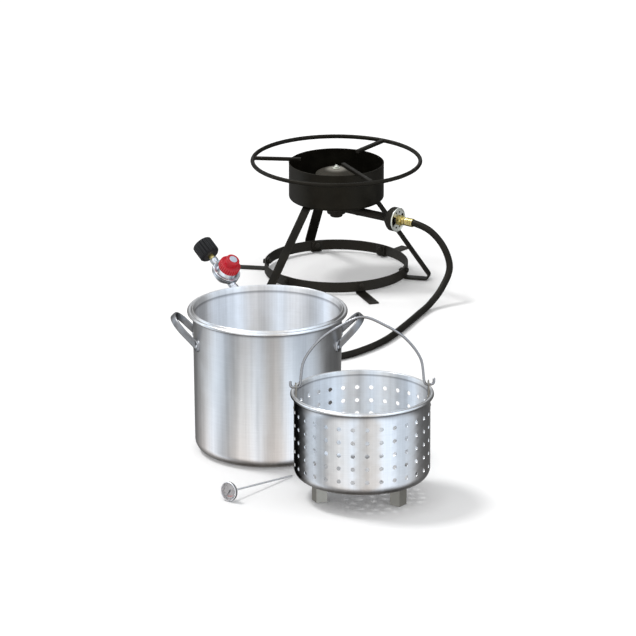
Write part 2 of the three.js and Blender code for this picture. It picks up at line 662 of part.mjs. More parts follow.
// ---- dial thermometer, its stem along the group's +X ----
function thermometer() {
  const { radius, deep, wall, stem, length } = DIAL;
  const along = (outline, sides) => aim(revolve(outline, sides), v3(0, 0, 0), heading(0));
  const group = new THREE.Group();
  const lift = radius + GAP * 2;
  group.position.set(DIAL.x, DIAL.y, lift);
  group.rotation.set(0, Math.asin((lift - stem - GAP) / length), DIAL.yaw * RADIANS, 'ZYX');
  const cup = [
    [0, deep - wall], [radius - wall, deep - wall], [radius - wall, 0], [radius, 0], [radius, deep - 2],
    [radius - 2, deep], [0, deep],
  ];
  const slab = (r, low, high) => [[0, low], [r, low], [r, high], [0, high]];
  const probe = [
    [0, deep + GAP], [stem * 2, deep + GAP], [stem * 2, deep + 7], [stem, deep + 9], [stem, length - 6],
    [0, length],
  ];
  const plateTop = deep - wall - GAP;
  const inner = radius - wall - GAP;
  group.add(
    piece('thermometer_case', along(cup, 24), stainless),
    piece('thermometer_dial', along(slab(inner, plateTop - 1, plateTop), 24), white),
    piece('thermometer_lens', along(slab(inner, 0.5, 2), 24), glass),
    piece('thermometer_stem', along(probe, 12), stainless),
  );
  const needle = new THREE.BoxGeometry(0.6, 1.6, inner * 0.9)
    .translate(plateTop - 2.4, 0, -inner * 0.32)
    .rotateX(NEEDLE_REST * RADIANS);
  group.add(piece('thermometer_needle', needle, blackPlastic));
  return group;
}

// ---- the kit ----
const kit = new THREE.Group();
const regulatorGroup = regulator(regulatorFrame());
kit.add(burnerStand(), gasHose(regulatorGroup), regulatorGroup, stockPot(), basket(), thermometer());

export default kit;
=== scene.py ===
"""The finished look of the turkey fryer kit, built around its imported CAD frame. +Z is up.

Shapes are stated in millimetres, and to_mesh() turns them into metres. Materials, whose patterns lie in
object coordinates, are stated in metres.
"""

import json
import math

import bmesh
import bpy
from mathutils import Matrix, Vector


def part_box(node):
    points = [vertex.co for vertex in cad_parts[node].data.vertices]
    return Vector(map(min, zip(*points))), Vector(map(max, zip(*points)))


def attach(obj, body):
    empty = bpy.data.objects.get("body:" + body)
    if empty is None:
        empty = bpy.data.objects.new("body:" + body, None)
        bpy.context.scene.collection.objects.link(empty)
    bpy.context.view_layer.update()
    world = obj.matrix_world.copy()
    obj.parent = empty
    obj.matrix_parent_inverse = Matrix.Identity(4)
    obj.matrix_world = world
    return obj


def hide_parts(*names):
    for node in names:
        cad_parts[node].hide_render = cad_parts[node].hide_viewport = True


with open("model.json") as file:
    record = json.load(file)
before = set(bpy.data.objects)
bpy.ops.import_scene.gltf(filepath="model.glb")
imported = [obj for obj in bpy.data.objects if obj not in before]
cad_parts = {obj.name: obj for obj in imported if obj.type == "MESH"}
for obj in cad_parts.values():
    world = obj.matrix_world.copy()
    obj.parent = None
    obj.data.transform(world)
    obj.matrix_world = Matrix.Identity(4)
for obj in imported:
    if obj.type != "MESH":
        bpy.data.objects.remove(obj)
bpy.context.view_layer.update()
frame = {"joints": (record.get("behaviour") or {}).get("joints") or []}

MM = 0.001
TURN = 2 * math.pi
UP = Vector((0, 0, 1))

# ---------------------------------------------------------------- places taken from the frame


def box(node):
    """The low and high corners of a CAD node's box, in millimetres."""
    return [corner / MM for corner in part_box(node)]


def middle(node):
    low, high = box(node)
    return (low + high) / 2


def reach(node):
    """Half the width of a round node that stands upright."""
    low, high = box(node)
    return (high.x - low.x) / 2


def joint(name):
    """A joint's place, in millimetres, and its axis."""
    found = next(j for j in frame["joints"] if j["name"] == name)
    return Vector(found["pos_m"]) / MM, Vector(found["axis"])


STAND_CENTRE = Vector((*middle("pot_ring").xy, 0))
BASKET_CENTRE = Vector((*middle("basket_shell").xy, 0))
POT_HEIGHT = box("pot_shell")[1].z
BASKET_FLOOR, BASKET_TOP = (corner.z for corner in box("basket_shell"))
BAIL_PIVOT, BAIL_AXIS = joint("bail_swing")
SHUTTER, TUBE_OUT = joint("shutter_turn")
REGULATOR, REGULATOR_UP = joint("knob_turn")
REGULATOR_ALONG = joint("coupling_turn")[1]
DIAL, DIAL_ALONG = joint("needle_turn")

# ---------------------------------------------------------------- mesh helpers


def polar(radius, degrees, z=0.0):
    a = math.radians(degrees)
    return Vector((radius * math.cos(a), radius * math.sin(a), z))


def arc(r, z, radius, start, end, steps=8):
    """Points (r, z) on an arc in the outline plane, angles in degrees."""
    angles = [math.radians(start + (end - start) * i / steps) for i in range(steps + 1)]
    return [(r + radius * math.cos(a), z + radius * math.sin(a)) for a in angles]


def smooth_path(points, steps=8):
    """A centripetal Catmull-Rom curve through the points, which all stay on it."""
    points = [Vector(p) for p in points]
    padded = [2 * points[0] - points[1], *points, 2 * points[-1] - points[-2]]
    path = []
    for a, b, c, d in zip(padded, padded[1:], padded[2:], padded[3:]):
        before, here, after = (max((q - p).length ** 0.5, 1e-4) for p, q in ((a, b), (b, c), (c, d)))
        leave = ((b - a) / before - (c - a) / (before + here) + (c - b) / here) * here
        arrive = ((c - b) / here - (d - b) / (here + after) + (d - c) / after) * here
        for k in range(steps):
            t = k / steps
            path.append(b * (2 * t ** 3 - 3 * t ** 2 + 1) + leave * (t ** 3 - 2 * t ** 2 + t)
                        + c * (3 * t ** 2 - 2 * t ** 3) + arrive * (t ** 3 - t ** 2))
    return [*path, points[-1]]


def ring_of(count, radius_x, radius_y=None, power=2.0):
    """A closed section: an ellipse, or with a higher power a rounded rectangle."""
    radius_y = radius_x if radius_y is None else radius_y
    section = []
    for i in range(count):
        c, s = math.cos(TURN * i / count), math.sin(TURN * i / count)
        section.append((radius_x * math.copysign(abs(c) ** (2 / power), c),
                        radius_y * math.copysign(abs(s) ** (2 / power), s)))
    return section


def to_mesh(name, bm):
    """The finished mesh, in metres, of shapes stated in millimetres."""
    bmesh.ops.scale(bm, verts=bm.verts, vec=(MM, MM, MM))
    bmesh.ops.remove_doubles(bm, verts=bm.verts, dist=1e-6)
    bmesh.ops.recalc_face_normals(bm, faces=bm.faces)
    mesh = bpy.data.meshes.new(name)
    bm.to_mesh(mesh)
    bm.free()
    return mesh


def lathe(bm, outline, sides=96, matrix=Matrix()):
    """A surface of revolution about Z. An outline that doesn't touch the axis has to close on itself."""
    rings = []
    for r, z in outline:
        if r == 0:
            rings.append([bm.verts.new(matrix @ Vector((0, 0, z)))])
        else:
            rings.append([bm.verts.new(matrix @ polar(r, 360 * i / sides, z)) for i in range(sides)])
    for low, high in zip(rings, rings[1:]):
        for i in range(sides):
            k = (i + 1) % sides
            corners = [low[i % len(low)], low[k % len(low)], high[k % len(high)], high[i % len(high)]]
            corners = list(dict.fromkeys(corners))
            if len(corners) > 2:
                bm.faces.new(corners)


def frames_along(path, closed=False, first_side=None):
    """A right-handed frame (side, up, along) at each point of a path, turned as little as possible."""
    count = len(path)
    frames = []
    side = None
    for i in range(count):
        before = path[i - 1] if i or closed else path[i]
        after = path[(i + 1) % count] if i < count - 1 or closed else path[i]
        along = (after - before).normalized()
        if side is None:
            side = first_side or (UP.cross(along) if abs(along.z) < 0.9 else Vector((1, 0, 0)))
        side = (side - along * side.dot(along)).normalized()
        frames.append((side, along.cross(side), along))
    return frames


def sweep(bm, path, section, closed=False, first_side=None, scale=lambda t: 1):
    """A section carried along a path; scale(t) sizes it from the start, t = 0, to the end, t = 1."""
    rings = []
    for i, (point, (side, up, _)) in enumerate(zip(path, frames_along(path, closed, first_side))):
        size = scale(i / max(len(path) - 1, 1))
        rings.append([point + side * x * size + up * y * size for x, y in section])
    loft(bm, rings, closed, capped=not closed)


def rod(bm, path, radius, sides=16, closed=False):
    """A round rod whose open ends are rounded over."""
    if closed:
        sweep(bm, path, ring_of(sides, radius), closed=True)
        return
    start, end = (path[0] - path[1]).normalized(), (path[-1] - path[-2]).normalized()
    bulge = [(math.sin(math.radians(a)), math.cos(math.radians(a))) for a in (80, 50, 20)]
    head = [path[0] + start * radius * 0.6 * s for s, _ in bulge]
    tail = [path[-1] + end * radius * 0.6 * s for s, _ in reversed(bulge)]
    whole = [*head, *path, *tail]
    sizes = [c for _, c in bulge] + [1] * len(path) + [c for _, c in reversed(bulge)]
    count = len(whole) - 1
    sweep(bm, whole, ring_of(sides, radius), scale=lambda t: sizes[round(t * count)])


def rounded_line(points, radius, steps=6):
    """A flat polyline (x, y) with each inner corner replaced by an arc of the given radius."""
    points = [Vector(p) for p in points]
    line = [points[0]]
    for before, corner, after in zip(points, points[1:], points[2:]):
        a, b = (before - corner).normalized(), (after - corner).normalized()
        half = a.angle(b) / 2
        cut = min(radius / math.tan(half), (before - corner).length * 0.45, (after - corner).length * 0.45)
        bend = cut * math.tan(half)
        centre = corner + (a + b).normalized() * (bend / math.sin(half))
        start, end = corner + a * cut - centre, corner + b * cut - centre
        span = start.angle_signed(end)
        for i in range(steps + 1):
            t = -span * i / steps
            c, s = math.cos(t), math.sin(t)
            line.append(centre + Vector((start.x * c - start.y * s, start.x * s + start.y * c)))
    return [*line, points[-1]]


def box_between(bm, low, high, matrix=Matrix(), bevel=0.0):
    """A block with softened edges."""
    made = bmesh.ops.create_cube(bm, size=1.0)["verts"]
    size, centre = Vector(high) - Vector(low), (Vector(high) + Vector(low)) / 2
    place = matrix @ Matrix.Translation(centre) @ Matrix.Diagonal((*size, 1))
    bmesh.ops.transform(bm, verts=made, matrix=place)
    if bevel:
        edges = list({e for v in made for e in v.link_edges})
        bmesh.ops.bevel(bm, geom=edges, offset=bevel, segments=2, profile=0.5, affect="EDGES")


def toward(direction, at=Vector((0, 0, 0)), side=None):
    """A matrix whose Z axis points along a direction from a place."""
    z = Vector(direction).normalized()
    x = Vector(side) if side is not None else (UP.cross(z) if abs(z.z) < 0.95 else Vector((1, 0, 0)))
    x = (x - z * x.dot(z)).normalized()
    y = z.cross(x)
    return Matrix.Translation(at) @ Matrix((x, y, z)).transposed().to_4x4()


def rivet_head(bm, matrix, radius, height):
    """A domed rivet head that sits on Z = 0."""
    angles = [math.radians(a) for a in range(0, 90, 15)]
    dome = [(radius * math.cos(a), height * math.sin(a)) for a in angles]
    lathe(bm, [(0, -0.4), (radius, -0.4), *dome, (0, height)], 24, matrix)


def perforated(bm, columns, rows, hole, outer, inner, segments=16):
    """A round wall made of cells with one round hole each; rows holds each row's (low, middle, high)."""
    quarter = segments // 4
    half = math.pi / columns
    for low, middle_z, high in rows:
        for column in range(columns):
            centre = TURN * (column + 0.5) / columns
            edge, rim = [], []
            for i in range(segments):
                side, along = divmod(i, quarter)
                s = 2 * along / quarter - 1
                x, y = [(1, s), (-s, 1), (-1, -s), (s, -1)][side]
                edge.append((math.degrees(centre + x * half), (low + high) / 2 + y * (high - low) / 2))
                t = TURN * i / segments - math.pi / 4
                rim.append((math.degrees(centre + hole / outer * math.cos(t)), middle_z + hole * math.sin(t)))
            rims = []
            for radius in (outer, inner):
                a, b = ([bm.verts.new(polar(radius, *place)) for place in loop] for loop in (edge, rim))
                join_loops(bm, a, b)
                rims.append(b)
            join_loops(bm, *rims)


def join_loops(bm, a, b):
    for i in range(len(a)):
        k = (i + 1) % len(a)
        bm.faces.new([a[i], a[k], b[k], b[i]])


def circle(radius, count, x=0.0, y=0.0):
    return [Vector((x, y)) + polar(radius, 360 * i / count).xy for i in range(count)]


def flat_plate(bm, outline, holes, low, high, matrix=Matrix()):
    """A flat plate with holes, between two heights."""
    layers = []
    for z in (low, high):
        edges, loops = [], []
        for loop in (outline, *holes):
            verts = [bm.verts.new(matrix @ Vector((*p, z))) for p in loop]
            edges += [bm.edges.new((verts[i - 1], verts[i])) for i in range(len(verts))]
            loops.append(verts)
        bmesh.ops.triangle_fill(bm, edges=edges, use_beauty=True)
        layers.append(loops)
    for a, b in zip(*layers):
        join_loops(bm, a, b)


def loft(bm, rings, closed=False, capped=False):
    """A skin over rings of points that follow one another, and may come back to the first."""
    layers = [[bm.verts.new(point) for point in ring] for ring in rings]
    for a, b in zip(layers, layers[1:] + layers[:1] if closed else layers[1:]):
        join_loops(bm, a, b)
    if capped:
        bm.faces.new(layers[0])
        bm.faces.new(layers[-1])


def fluted(bm, outline, sides, flutes, depth, matrix, sharpness=1, capped=False):
    """A lathed shape with upright grooves: outline holds (r, z, share of the grooves' depth)."""
    waves = [(0.5 - 0.5 * math.cos(TURN * flutes * i / sides)) ** sharpness for i in range(sides)]
    loft(bm, [
        [matrix @ polar(r - depth * share * wave, 360 * i / sides, z) for i, wave in enumerate(waves)]
        for r, z, share in outline
    ], capped=capped)


# ---------------------------------------------------------------- material helpers


class Nodes:
    """A node tree under construction."""

    def __init__(self, tree):
        self.tree = tree

    def put(self, node, **inputs):
        for name, value in inputs.items():
            socket = node.inputs[int(name[2:]) if name.startswith("in") else name.replace("_", " ")]
            if isinstance(value, bpy.types.NodeSocket):
                self.tree.links.new(value, socket)
            elif hasattr(value, "__len__") and len(value) == 3 and socket.type == "RGBA":
                socket.default_value = (*value, 1)
            else:
                socket.default_value = value
        return node

    def add(self, kind, settings=None, **inputs):
        node = self.tree.nodes.new("ShaderNode" + kind)
        for name, value in (settings or {}).items():
            setattr(node, name, value)
        return self.put(node, **inputs)

    def math(self, operation, a, b=0.0, c=0.0):
        node = self.add("Math", {"operation": operation}, in0=a, in1=b, in2=c)
        return node.outputs[0]

    def ramp(self, value, *stops, smooth=False):
        node = self.add("ValToRGB", None, Fac=value)
        ramp = node.color_ramp
        ramp.interpolation = "EASE" if smooth else "LINEAR"
        while len(ramp.elements) < len(stops):
            ramp.elements.new(0.5)
        for element, (position, color) in zip(ramp.elements, stops):
            element.position = position
            element.color = (*color, 1) if hasattr(color, "__len__") else (color, color, color, 1)
        return node.outputs["Color"]

    def mix(self, share, a, b, blend="MIX"):
        node = self.add("Mix", {"data_type": "RGBA", "blend_type": blend})
        self.put(node, in0=share, in6=a, in7=b)
        return node.outputs[2]


class Shader(Nodes):
    """One node material under construction."""

    def __init__(self, name, roughness=0.5, metallic=0.0, **inputs):
        self.material = bpy.data.materials.new(name)
        self.material.use_nodes = True
        super().__init__(self.material.node_tree)
        self.surface = self.tree.nodes["Principled BSDF"]
        self.put(self.surface, Roughness=roughness, Metallic=metallic, **inputs)

    def place(self, scale=(1, 1, 1)):
        """Object coordinates, stretched: a pattern doesn't depend on UVs."""
        where = self.add("TexCoord").outputs["Object"]
        return self.add("Mapping", None, Vector=where, Scale=scale).outputs[0]

    def noise(self, size, where=None, detail=4.0, roughness=0.55):
        """Noise whose features are about size metres across."""
        where = self.place() if where is None else where
        node = self.add("TexNoise", None, Vector=where, Scale=1 / size, Detail=detail, Roughness=roughness)
        return node.outputs["Fac"]

    def patches(self, size, detail, clean, full, share, base, other):
        """The base colour with soft patches of another, which take over by at most a share."""
        return self.mix(self.ramp(self.noise(size, detail=detail), (clean, 0.0), (full, share)), base, other)

    def spread(self, value, low, high):
        """A number that follows a noise, from low to high."""
        return self.ramp(value, (0.3, low), (0.7, high))

    def bump(self, height, strength, distance, normal=None):
        inputs = {"Height": height, "Strength": strength, "Distance": distance}
        node = self.add("Bump", None, **inputs)
        if normal is not None:
            self.tree.links.new(normal, node.inputs["Normal"])
        return node.outputs[0]

    def edges(self, start=0.52, end=0.62):
        """1 on sharp outer edges and 0 elsewhere, for wear."""
        return self.ramp(self.add("NewGeometry").outputs["Pointiness"], (start, 0.0), (end, 1.0))

    def away(self, start, end):
        """0 where the surface faces the eye, 1 where it turns away."""
        facing = self.add("LayerWeight", None, Blend=0.5).outputs["Facing"]
        return self.ramp(facing, (start, 0.0), (end, 1.0), smooth=True)

    def side(self):
        """From 0 where the surface faces to the eye's left to 1 where it faces to the right."""
        turn = {"vector_type": "NORMAL", "convert_from": "WORLD", "convert_to": "CAMERA"}
        seen = self.add("VectorTransform", turn, Vector=self.add("NewGeometry").outputs["Normal"]).outputs[0]
        return self.math("MULTIPLY_ADD", self.add("SeparateXYZ", None, Vector=seen).outputs["X"], 0.5, 0.5)

    def finish(self, color, roughness=None, normal=None):
        self.put(self.surface, Base_Color=color)
        if roughness is not None:
            self.put(self.surface, Roughness=roughness)
        if normal is not None:
            self.put(self.surface, Normal=normal)
        return self.material


# ---------------------------------------------------------------- materials

METAL_EDGE_SHADE = (0.16, 0.165, 0.17)  # painted shade: the dark reflection polished metal shows where it turns away from the eye


def spun_aluminium(name, light, height, metallic=1.0, shaded_left_side=False):
    """Sheet aluminium turned on a lathe: fine rings round the axis, soft upright streaks of painted
    reflection, painted darker edges.
    """
    s = Shader(name, metallic=metallic, Anisotropic=0.6, Anisotropic_Rotation=0.25)
    tangent = s.add("Tangent", {"direction_type": "RADIAL", "axis": "Z"}).outputs[0]
    rings = s.noise(0.0016, s.place((0.02, 0.02, 1)), detail=3)
    coarse = s.noise(0.009, s.place((0.03, 0.03, 1)), detail=2)
    painted_streaks = s.noise(0.011, s.place((1, 1, 0.02)), detail=5, roughness=0.6)
    painted_broad_streaks = s.noise(0.07, s.place((1, 1, 0.05)), detail=1)
    stains = s.noise(0.05, detail=6)
    # painted reflection: soft upright streaks multiplied into the colour
    soft = s.mix(0.5, s.ramp(painted_streaks, (0.34, 0.68), (0.66, 1.0)), s.ramp(painted_broad_streaks, (0.3, 0.86), (0.7, 1.0)))
    color = s.mix(1.0, light, soft, "MULTIPLY")
    color = s.mix(1.0, color, s.ramp(rings, (0.2, 0.9), (0.8, 1.0)), "MULTIPLY")
    color = s.mix(0.12, color, s.ramp(stains, (0.45, (0.62, 0.6, 0.57)), (0.6, light)))
    up = s.add("SeparateXYZ", None, Vector=s.add("TexCoord").outputs["Object"]).outputs["Z"]
    share = s.math("DIVIDE", up, height * MM)  # 0 at the foot, 1 at the top: a painted warm reflection at the foot and a painted shadow line under the rim
    tint = s.ramp(
        share,
        (0.0, (1.0, 0.94, 0.9)), (0.3, (1.0, 0.98, 0.97)), (0.6, (0.95, 0.96, 0.97)),
        (0.94, (0.93, 0.94, 0.96)), (0.957, (0.4, 0.4, 0.42)), (0.966, (1.0, 1.0, 1.0)),
    )
    color = s.mix(1.0, color, tint, "MULTIPLY")
    # painted shade where the surface turns away from the eye
    color = s.mix(s.away(0.62, 0.95), color, METAL_EDGE_SHADE)
    if shaded_left_side:  # painted shade on the side facing the eye's left, in the colour and in the metal's edge tint
        stops = ((0.0, 0.08), (0.03, 0.1), (0.06, 0.15), (0.105, 0.5), (0.15, 0.88), (0.2, 1.0))
        shade = s.ramp(s.side(), *stops)
        color = s.mix(1.0, color, shade, "MULTIPLY")
        s.put(s.surface, Specular_Tint=shade)
    normal = s.bump(rings, 0.025, 0.0002, s.bump(coarse, 0.02, 0.0006))
    s.put(s.surface, Tangent=tangent)
    return s.finish(color, s.spread(stains, 0.28, 0.36), normal)


def darker(color, share):
    return tuple(c * share for c in color)


def cast_aluminium(name, light, rubbed, grain=0.0012):
    """Tumbled casting or cut strip: a dull skin, lighter where its edges are rubbed."""
    s = Shader(name, metallic=1.0)
    skin = s.noise(grain, detail=6)
    color = s.patches(0.012, 3, 0.35, 0.7, 0.6, light, darker(light, 0.72))
    color = s.mix(s.edges(), color, rubbed)
    # painted shade where the surface turns away from the eye
    color = s.mix(s.away(0.55, 0.9), color, METAL_EDGE_SHADE)
    return s.finish(color, s.spread(skin, 0.3, 0.5), s.bump(skin, 0.25, 0.0004))


def drawn_steel(name, light, roughness=0.2):
    """Drawn wire or bar: nearly smooth, with fine marks."""
    s = Shader(name, metallic=1.0)
    marks = s.noise(0.0008, detail=3)
    color = s.patches(0.02, 3, 0.3, 0.7, 0.5, light, darker(light, 0.8))
    # painted shade where the surface turns away from the eye
    color = s.mix(s.away(0.75, 0.98), color, METAL_EDGE_SHADE)
    return s.finish(color, s.spread(marks, roughness, roughness + 0.12), s.bump(marks, 0.06, 0.0002))


def black_paint(name, color, peel):
    """Heat-resistant paint on steel: slight orange peel, dust in the flats, bare metal on the edges."""
    s = Shader(name, Specular_IOR_Level=0.12, Specular_Tint=(1.0, 0.9, 0.72))
    skin, dust, fine = s.noise(peel, detail=2), s.noise(0.03, detail=5), s.noise(0.0007, detail=4)
    tone = s.mix(s.ramp(dust, (0.42, 0.0), (0.72, 0.5)), color, (0.016, 0.0145, 0.0105))
    worn = s.math("MULTIPLY", s.edges(0.53, 0.66), s.ramp(fine, (0.4, 0.1), (0.6, 0.8)))
    tone = s.mix(worn, tone, (0.12, 0.11, 0.1))
    return s.finish(tone, s.spread(dust, 0.34, 0.52), s.bump(skin, 0.18, 0.0005, s.bump(fine, 0.08, 0.0002)))


def cast_iron(name, color, centre_highlight=None):
    """A sand casting: pitted grain, a few warm patches, and perhaps a painted pale highlight round its
    upright axis.
    """
    s = Shader(name, metallic=0.15, Specular_IOR_Level=0.2, Specular_Tint=(1.0, 0.93, 0.8))
    grain, pits = s.noise(0.0018, detail=8), s.noise(0.005, detail=2)
    tone = s.patches(0.018, 5, 0.45, 0.75, 0.1, color, (0.14, 0.085, 0.055))
    if centre_highlight:
        # painted highlight: pale in the middle, fading out from the upright axis
        from_axis = s.add("VectorMath", {"operation": "LENGTH"}, in0=s.place((20, 20, 0))).outputs["Value"]
        tone = s.mix(s.ramp(from_axis, (0.16, 1.0), (0.62, 0.0), smooth=True), tone, centre_highlight)
    tone = s.mix(s.edges(), tone, darker(color, 2.2))
    return s.finish(tone, s.spread(grain, 0.5, 0.8), s.bump(grain, 0.5, 0.0006, s.bump(pits, 0.3, 0.001)))


def zinc_plate(name):
    """Plated steel with small spangles and dull yellow patches."""
    s = Shader(name, metallic=1.0)
    spangle = s.add("TexVoronoi", None, Vector=s.place(), Scale=260.0).outputs["Color"]
    shade = s.ramp(s.add("RGBToBW", None, Color=spangle).outputs[0], (0.2, 0.8), (0.8, 1.0))
    color = s.mix(1.0, (0.88, 0.88, 0.8), shade, "MULTIPLY")
    color = s.patches(0.01, 4, 0.5, 0.75, 0.35, color, (0.55, 0.5, 0.36))
    return s.finish(color, s.spread(s.noise(0.002), 0.4, 0.55), s.bump(s.noise(0.0012), 0.1, 0.0002))


def machined_brass(name):
    s = Shader(name, metallic=1.0)
    marks = s.noise(0.0007, detail=3)
    color = s.patches(0.008, 4, 0.35, 0.7, 1.0, (0.68, 0.54, 0.17), (0.36, 0.28, 0.08))
    color = s.mix(s.edges(), color, (0.9, 0.8, 0.45))
    return s.finish(color, s.spread(marks, 0.2, 0.4), s.bump(marks, 0.15, 0.0002))


def hose_rubber(name):
    """Extruded rubber cover with dust and a faint cloth imprint."""
    s = Shader(name, Specular_IOR_Level=0.18, Specular_Tint=(1.0, 0.93, 0.8))
    cloth, dust = s.noise(0.0009, detail=2), s.noise(0.025, detail=5)
    color = s.mix(s.ramp(dust, (0.4, 0.0), (0.75, 0.6)), (0.006, 0.0053, 0.004), (0.02, 0.018, 0.0145))
    return s.finish(color, s.spread(dust, 0.42, 0.62), s.bump(cloth, 0.3, 0.0003))


def die_casting(name):
    """A bright casting with painted reflection: bands of dark and light as it turns away from the eye."""
    s = Shader(name, metallic=1.0)
    skin = s.noise(0.0012, detail=6)
    color = s.patches(0.009, 3, 0.35, 0.7, 0.7, (0.72, 0.74, 0.77), (0.5, 0.52, 0.55))
    color = s.mix(s.edges(), color, (0.92, 0.93, 0.94))
    # painted reflection bands, by how far the surface turns from the eye
    facing = s.add("LayerWeight", None, Blend=0.5).outputs["Facing"]
    bands = s.ramp(facing, (0.1, 1.0), (0.24, 0.35), (0.36, 1.0), (0.55, 0.4), (0.7, 0.8), (0.9, 0.12))
    color = s.mix(1.0, color, bands, "MULTIPLY")
    return s.finish(color, s.spread(skin, 0.22, 0.36), s.bump(skin, 0.2, 0.0004))


def moulded_plastic(name, color, rubbed, roughness, shine=0.5):
    """Moulded plastic: a fine spark texture, lighter where it is rubbed."""
    s = Shader(name, Specular_IOR_Level=shine)
    spark, patches = s.noise(0.0006, detail=2), s.noise(0.012, detail=4)
    tone = s.mix(s.ramp(patches, (0.35, 0.0), (0.75, 0.5)), color, darker(color, 0.6))
    tone = s.mix(s.edges(0.53, 0.63), tone, rubbed)
    return s.finish(tone, s.spread(patches, roughness, roughness + 0.15), s.bump(spark, 0.1, 0.0002))


def dial_paint(name, color):
    """Matt printing ink with fine specks."""
    s = Shader(name)
    fine = s.noise(0.0009, detail=3)
    tone = s.mix(s.ramp(fine, (0.4, 0.0), (0.7, 0.18)), color, darker(color, 0.8))
    return s.finish(tone, s.spread(fine, 0.45, 0.6))


def lens_glass(name):
    """Clear glass with a few smears."""
    s = Shader(name, Transmission_Weight=1.0, IOR=1.45, Alpha=0.25)
    smear = s.noise(0.006, detail=4)
    return s.finish((0.95, 0.97, 0.98), s.ramp(smear, (0.4, 0.02), (0.8, 0.12)))


ALUMINIUM = (0.92, 0.925, 0.93)
FINISHES = {  # each CAD material slot and its looks
    "spun_aluminium": {
        "pot": spun_aluminium("spun_aluminium_pot", ALUMINIUM, POT_HEIGHT),
        "basket": spun_aluminium("spun_aluminium_basket", ALUMINIUM, BASKET_TOP, shaded_left_side=True),
        # painted light: lighter, bluer, less metallic copies of the spun aluminium for the insides
        "pot_inside_lit": spun_aluminium("spun_aluminium_pot_inside", (0.95, 0.97, 1.0), POT_HEIGHT, 0.6),
        "basket_inside_lit": spun_aluminium("spun_aluminium_basket_inside", (0.9, 0.94, 0.98), BASKET_TOP, 0.6),
        "handle": cast_aluminium("cast_aluminium", (0.26, 0.26, 0.265), (0.5, 0.5, 0.51)),
        "strip": cast_aluminium("aluminium_strip", (0.3, 0.28, 0.24), (0.34, 0.32, 0.28), 0.002),
        "rivet": drawn_steel("rivet_aluminium", (0.5, 0.51, 0.53), 0.24),
    },
    "stainless_wire": {
        "wire": drawn_steel("drawn_wire", (0.36, 0.36, 0.37)),
        "stem": drawn_steel("polished_stem", (0.96, 0.95, 0.95), 0.34),
    },
    "black_paint": {
        "paint": black_paint("black_paint", (0.0065, 0.0058, 0.0045), 0.0035),
        "pan": black_paint("black_paint_pan", (0.007, 0.0062, 0.0045), 0.005),
    },
    "black_cast_iron": {
        "casting": cast_iron("black_casting", (0.014, 0.013, 0.011)),
    },
    "burner_iron": {
        "burner": cast_iron("burner_iron", (0.03, 0.027, 0.021), centre_highlight=(0.3, 0.285, 0.25)),
    },
    "zinc_steel": {
        "zinc": zinc_plate("zinc_plate"),
    },
    "brass": {
        "brass": machined_brass("machined_brass"),
    },
    "hose_rubber": {
        "rubber": hose_rubber("hose_rubber"),
    },
    "die_cast": {
        "die_cast": die_casting("die_casting"),
    },
    "red_plastic": {
        "red": moulded_plastic("red_plastic", (0.5, 0.006, 0.018), (0.75, 0.12, 0.12), 0.24, 0.4),
        "cap": moulded_plastic("pale_cap", (0.42, 0.5, 0.62), (0.7, 0.75, 0.82), 0.25),
    },
    "black_plastic": {
        "black": moulded_plastic("black_plastic", (0.009, 0.009, 0.01), (0.07, 0.07, 0.072), 0.3, 0.2),
    },
    "dial_white": {
        "white": dial_paint("dial_white", (0.5, 0.475, 0.475)),
        "print": dial_paint("dial_print", (0.03, 0.03, 0.03)),
        "zone": dial_paint("dial_zone", (0.6, 0.06, 0.03)),
    },
    "lens_glass": {
        "glass": lens_glass("lens_glass"),
    },
}
MATERIALS = {finish: look for looks in FINISHES.values() for finish, look in looks.items()}


def piece(name, bm, finish, body, *nodes, at=Vector((0, 0, 0)), bevel=0.0, sharp=35, inside=None):
    """Makes the object on a body, in place of CAD nodes, with its own origin moved to a point."""
    bmesh.ops.translate(bm, verts=bm.verts, vec=-at)
    mesh = to_mesh(name, bm)
    mesh.materials.append(MATERIALS[finish])
    if inside:  # a bright vessel: mirrors see the studio past it, and its inside takes a lighter copy of its finish, painted light
        mesh.materials.append(MATERIALS[inside])
        for face in mesh.polygons:
            inward = face.normal.xy.dot(face.center.xy.normalized()) < -0.05
            on_floor = face.normal.z > 0.9 and face.center.z < 100 * MM
            face.material_index = int(inward or on_floor)
    mesh.shade_smooth()
    mesh.set_sharp_from_angle(angle=math.radians(sharp))
    made = bpy.data.objects.new(name, mesh)
    made.location = at * MM
    made.visible_glossy = inside is None
    bpy.context.scene.collection.objects.link(made)
    if bevel:
        modifier = made.modifiers.new("edges", "BEVEL")
        modifier.width = bevel * MM
        modifier.segments = 2
        modifier.limit_method = "ANGLE"
        modifier.angle_limit = math.radians(40)
        modifier.harden_normals = True
    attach(made, body)
    if nodes:
        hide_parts(*nodes)
    return made


# ---------------------------------------------------------------- burner stand

PAN_LOW, PAN_HIGH = (corner.z for corner in box("wind_guard_pan"))
PAN_RADIUS = reach("wind_guard_pan")
RING_Z = middle("pot_ring").z
RING_ROD = box("pot_ring")[1].z - RING_Z
RING_RADIUS = reach("pot_ring") - RING_ROD
HOOP_RADIUS = reach("base_hoop")
HOOP_LOW, HOOP_HIGH = (corner.z for corner in box("base_hoop"))
HOOP_BOLT_Z = HOOP_LOW + (HOOP_HIGH - HOOP_LOW) * 0.6
HOOP_THICK = 3.5
STRAP_WIDE = 25
TAB_FACE = 168.24  # inside face of the straps' upturned ends, measured from the stand's axis
LEG_ANGLES = {"right": -14, "rear": 106, "front": 226}
BARS = {"rear": (55, 88), "left": (175, 86), "front": (295, 38)}  # angle, inner end
STABILISER_ANGLES = {"rear": 50, "left": 170, "front": 290}
BURNER_Z = 246  # top of the burner bowl
CAP_TALL = 16
TUBE = toward(TUBE_OUT, SHUTTER)  # Z runs out along the burner's mixing tube


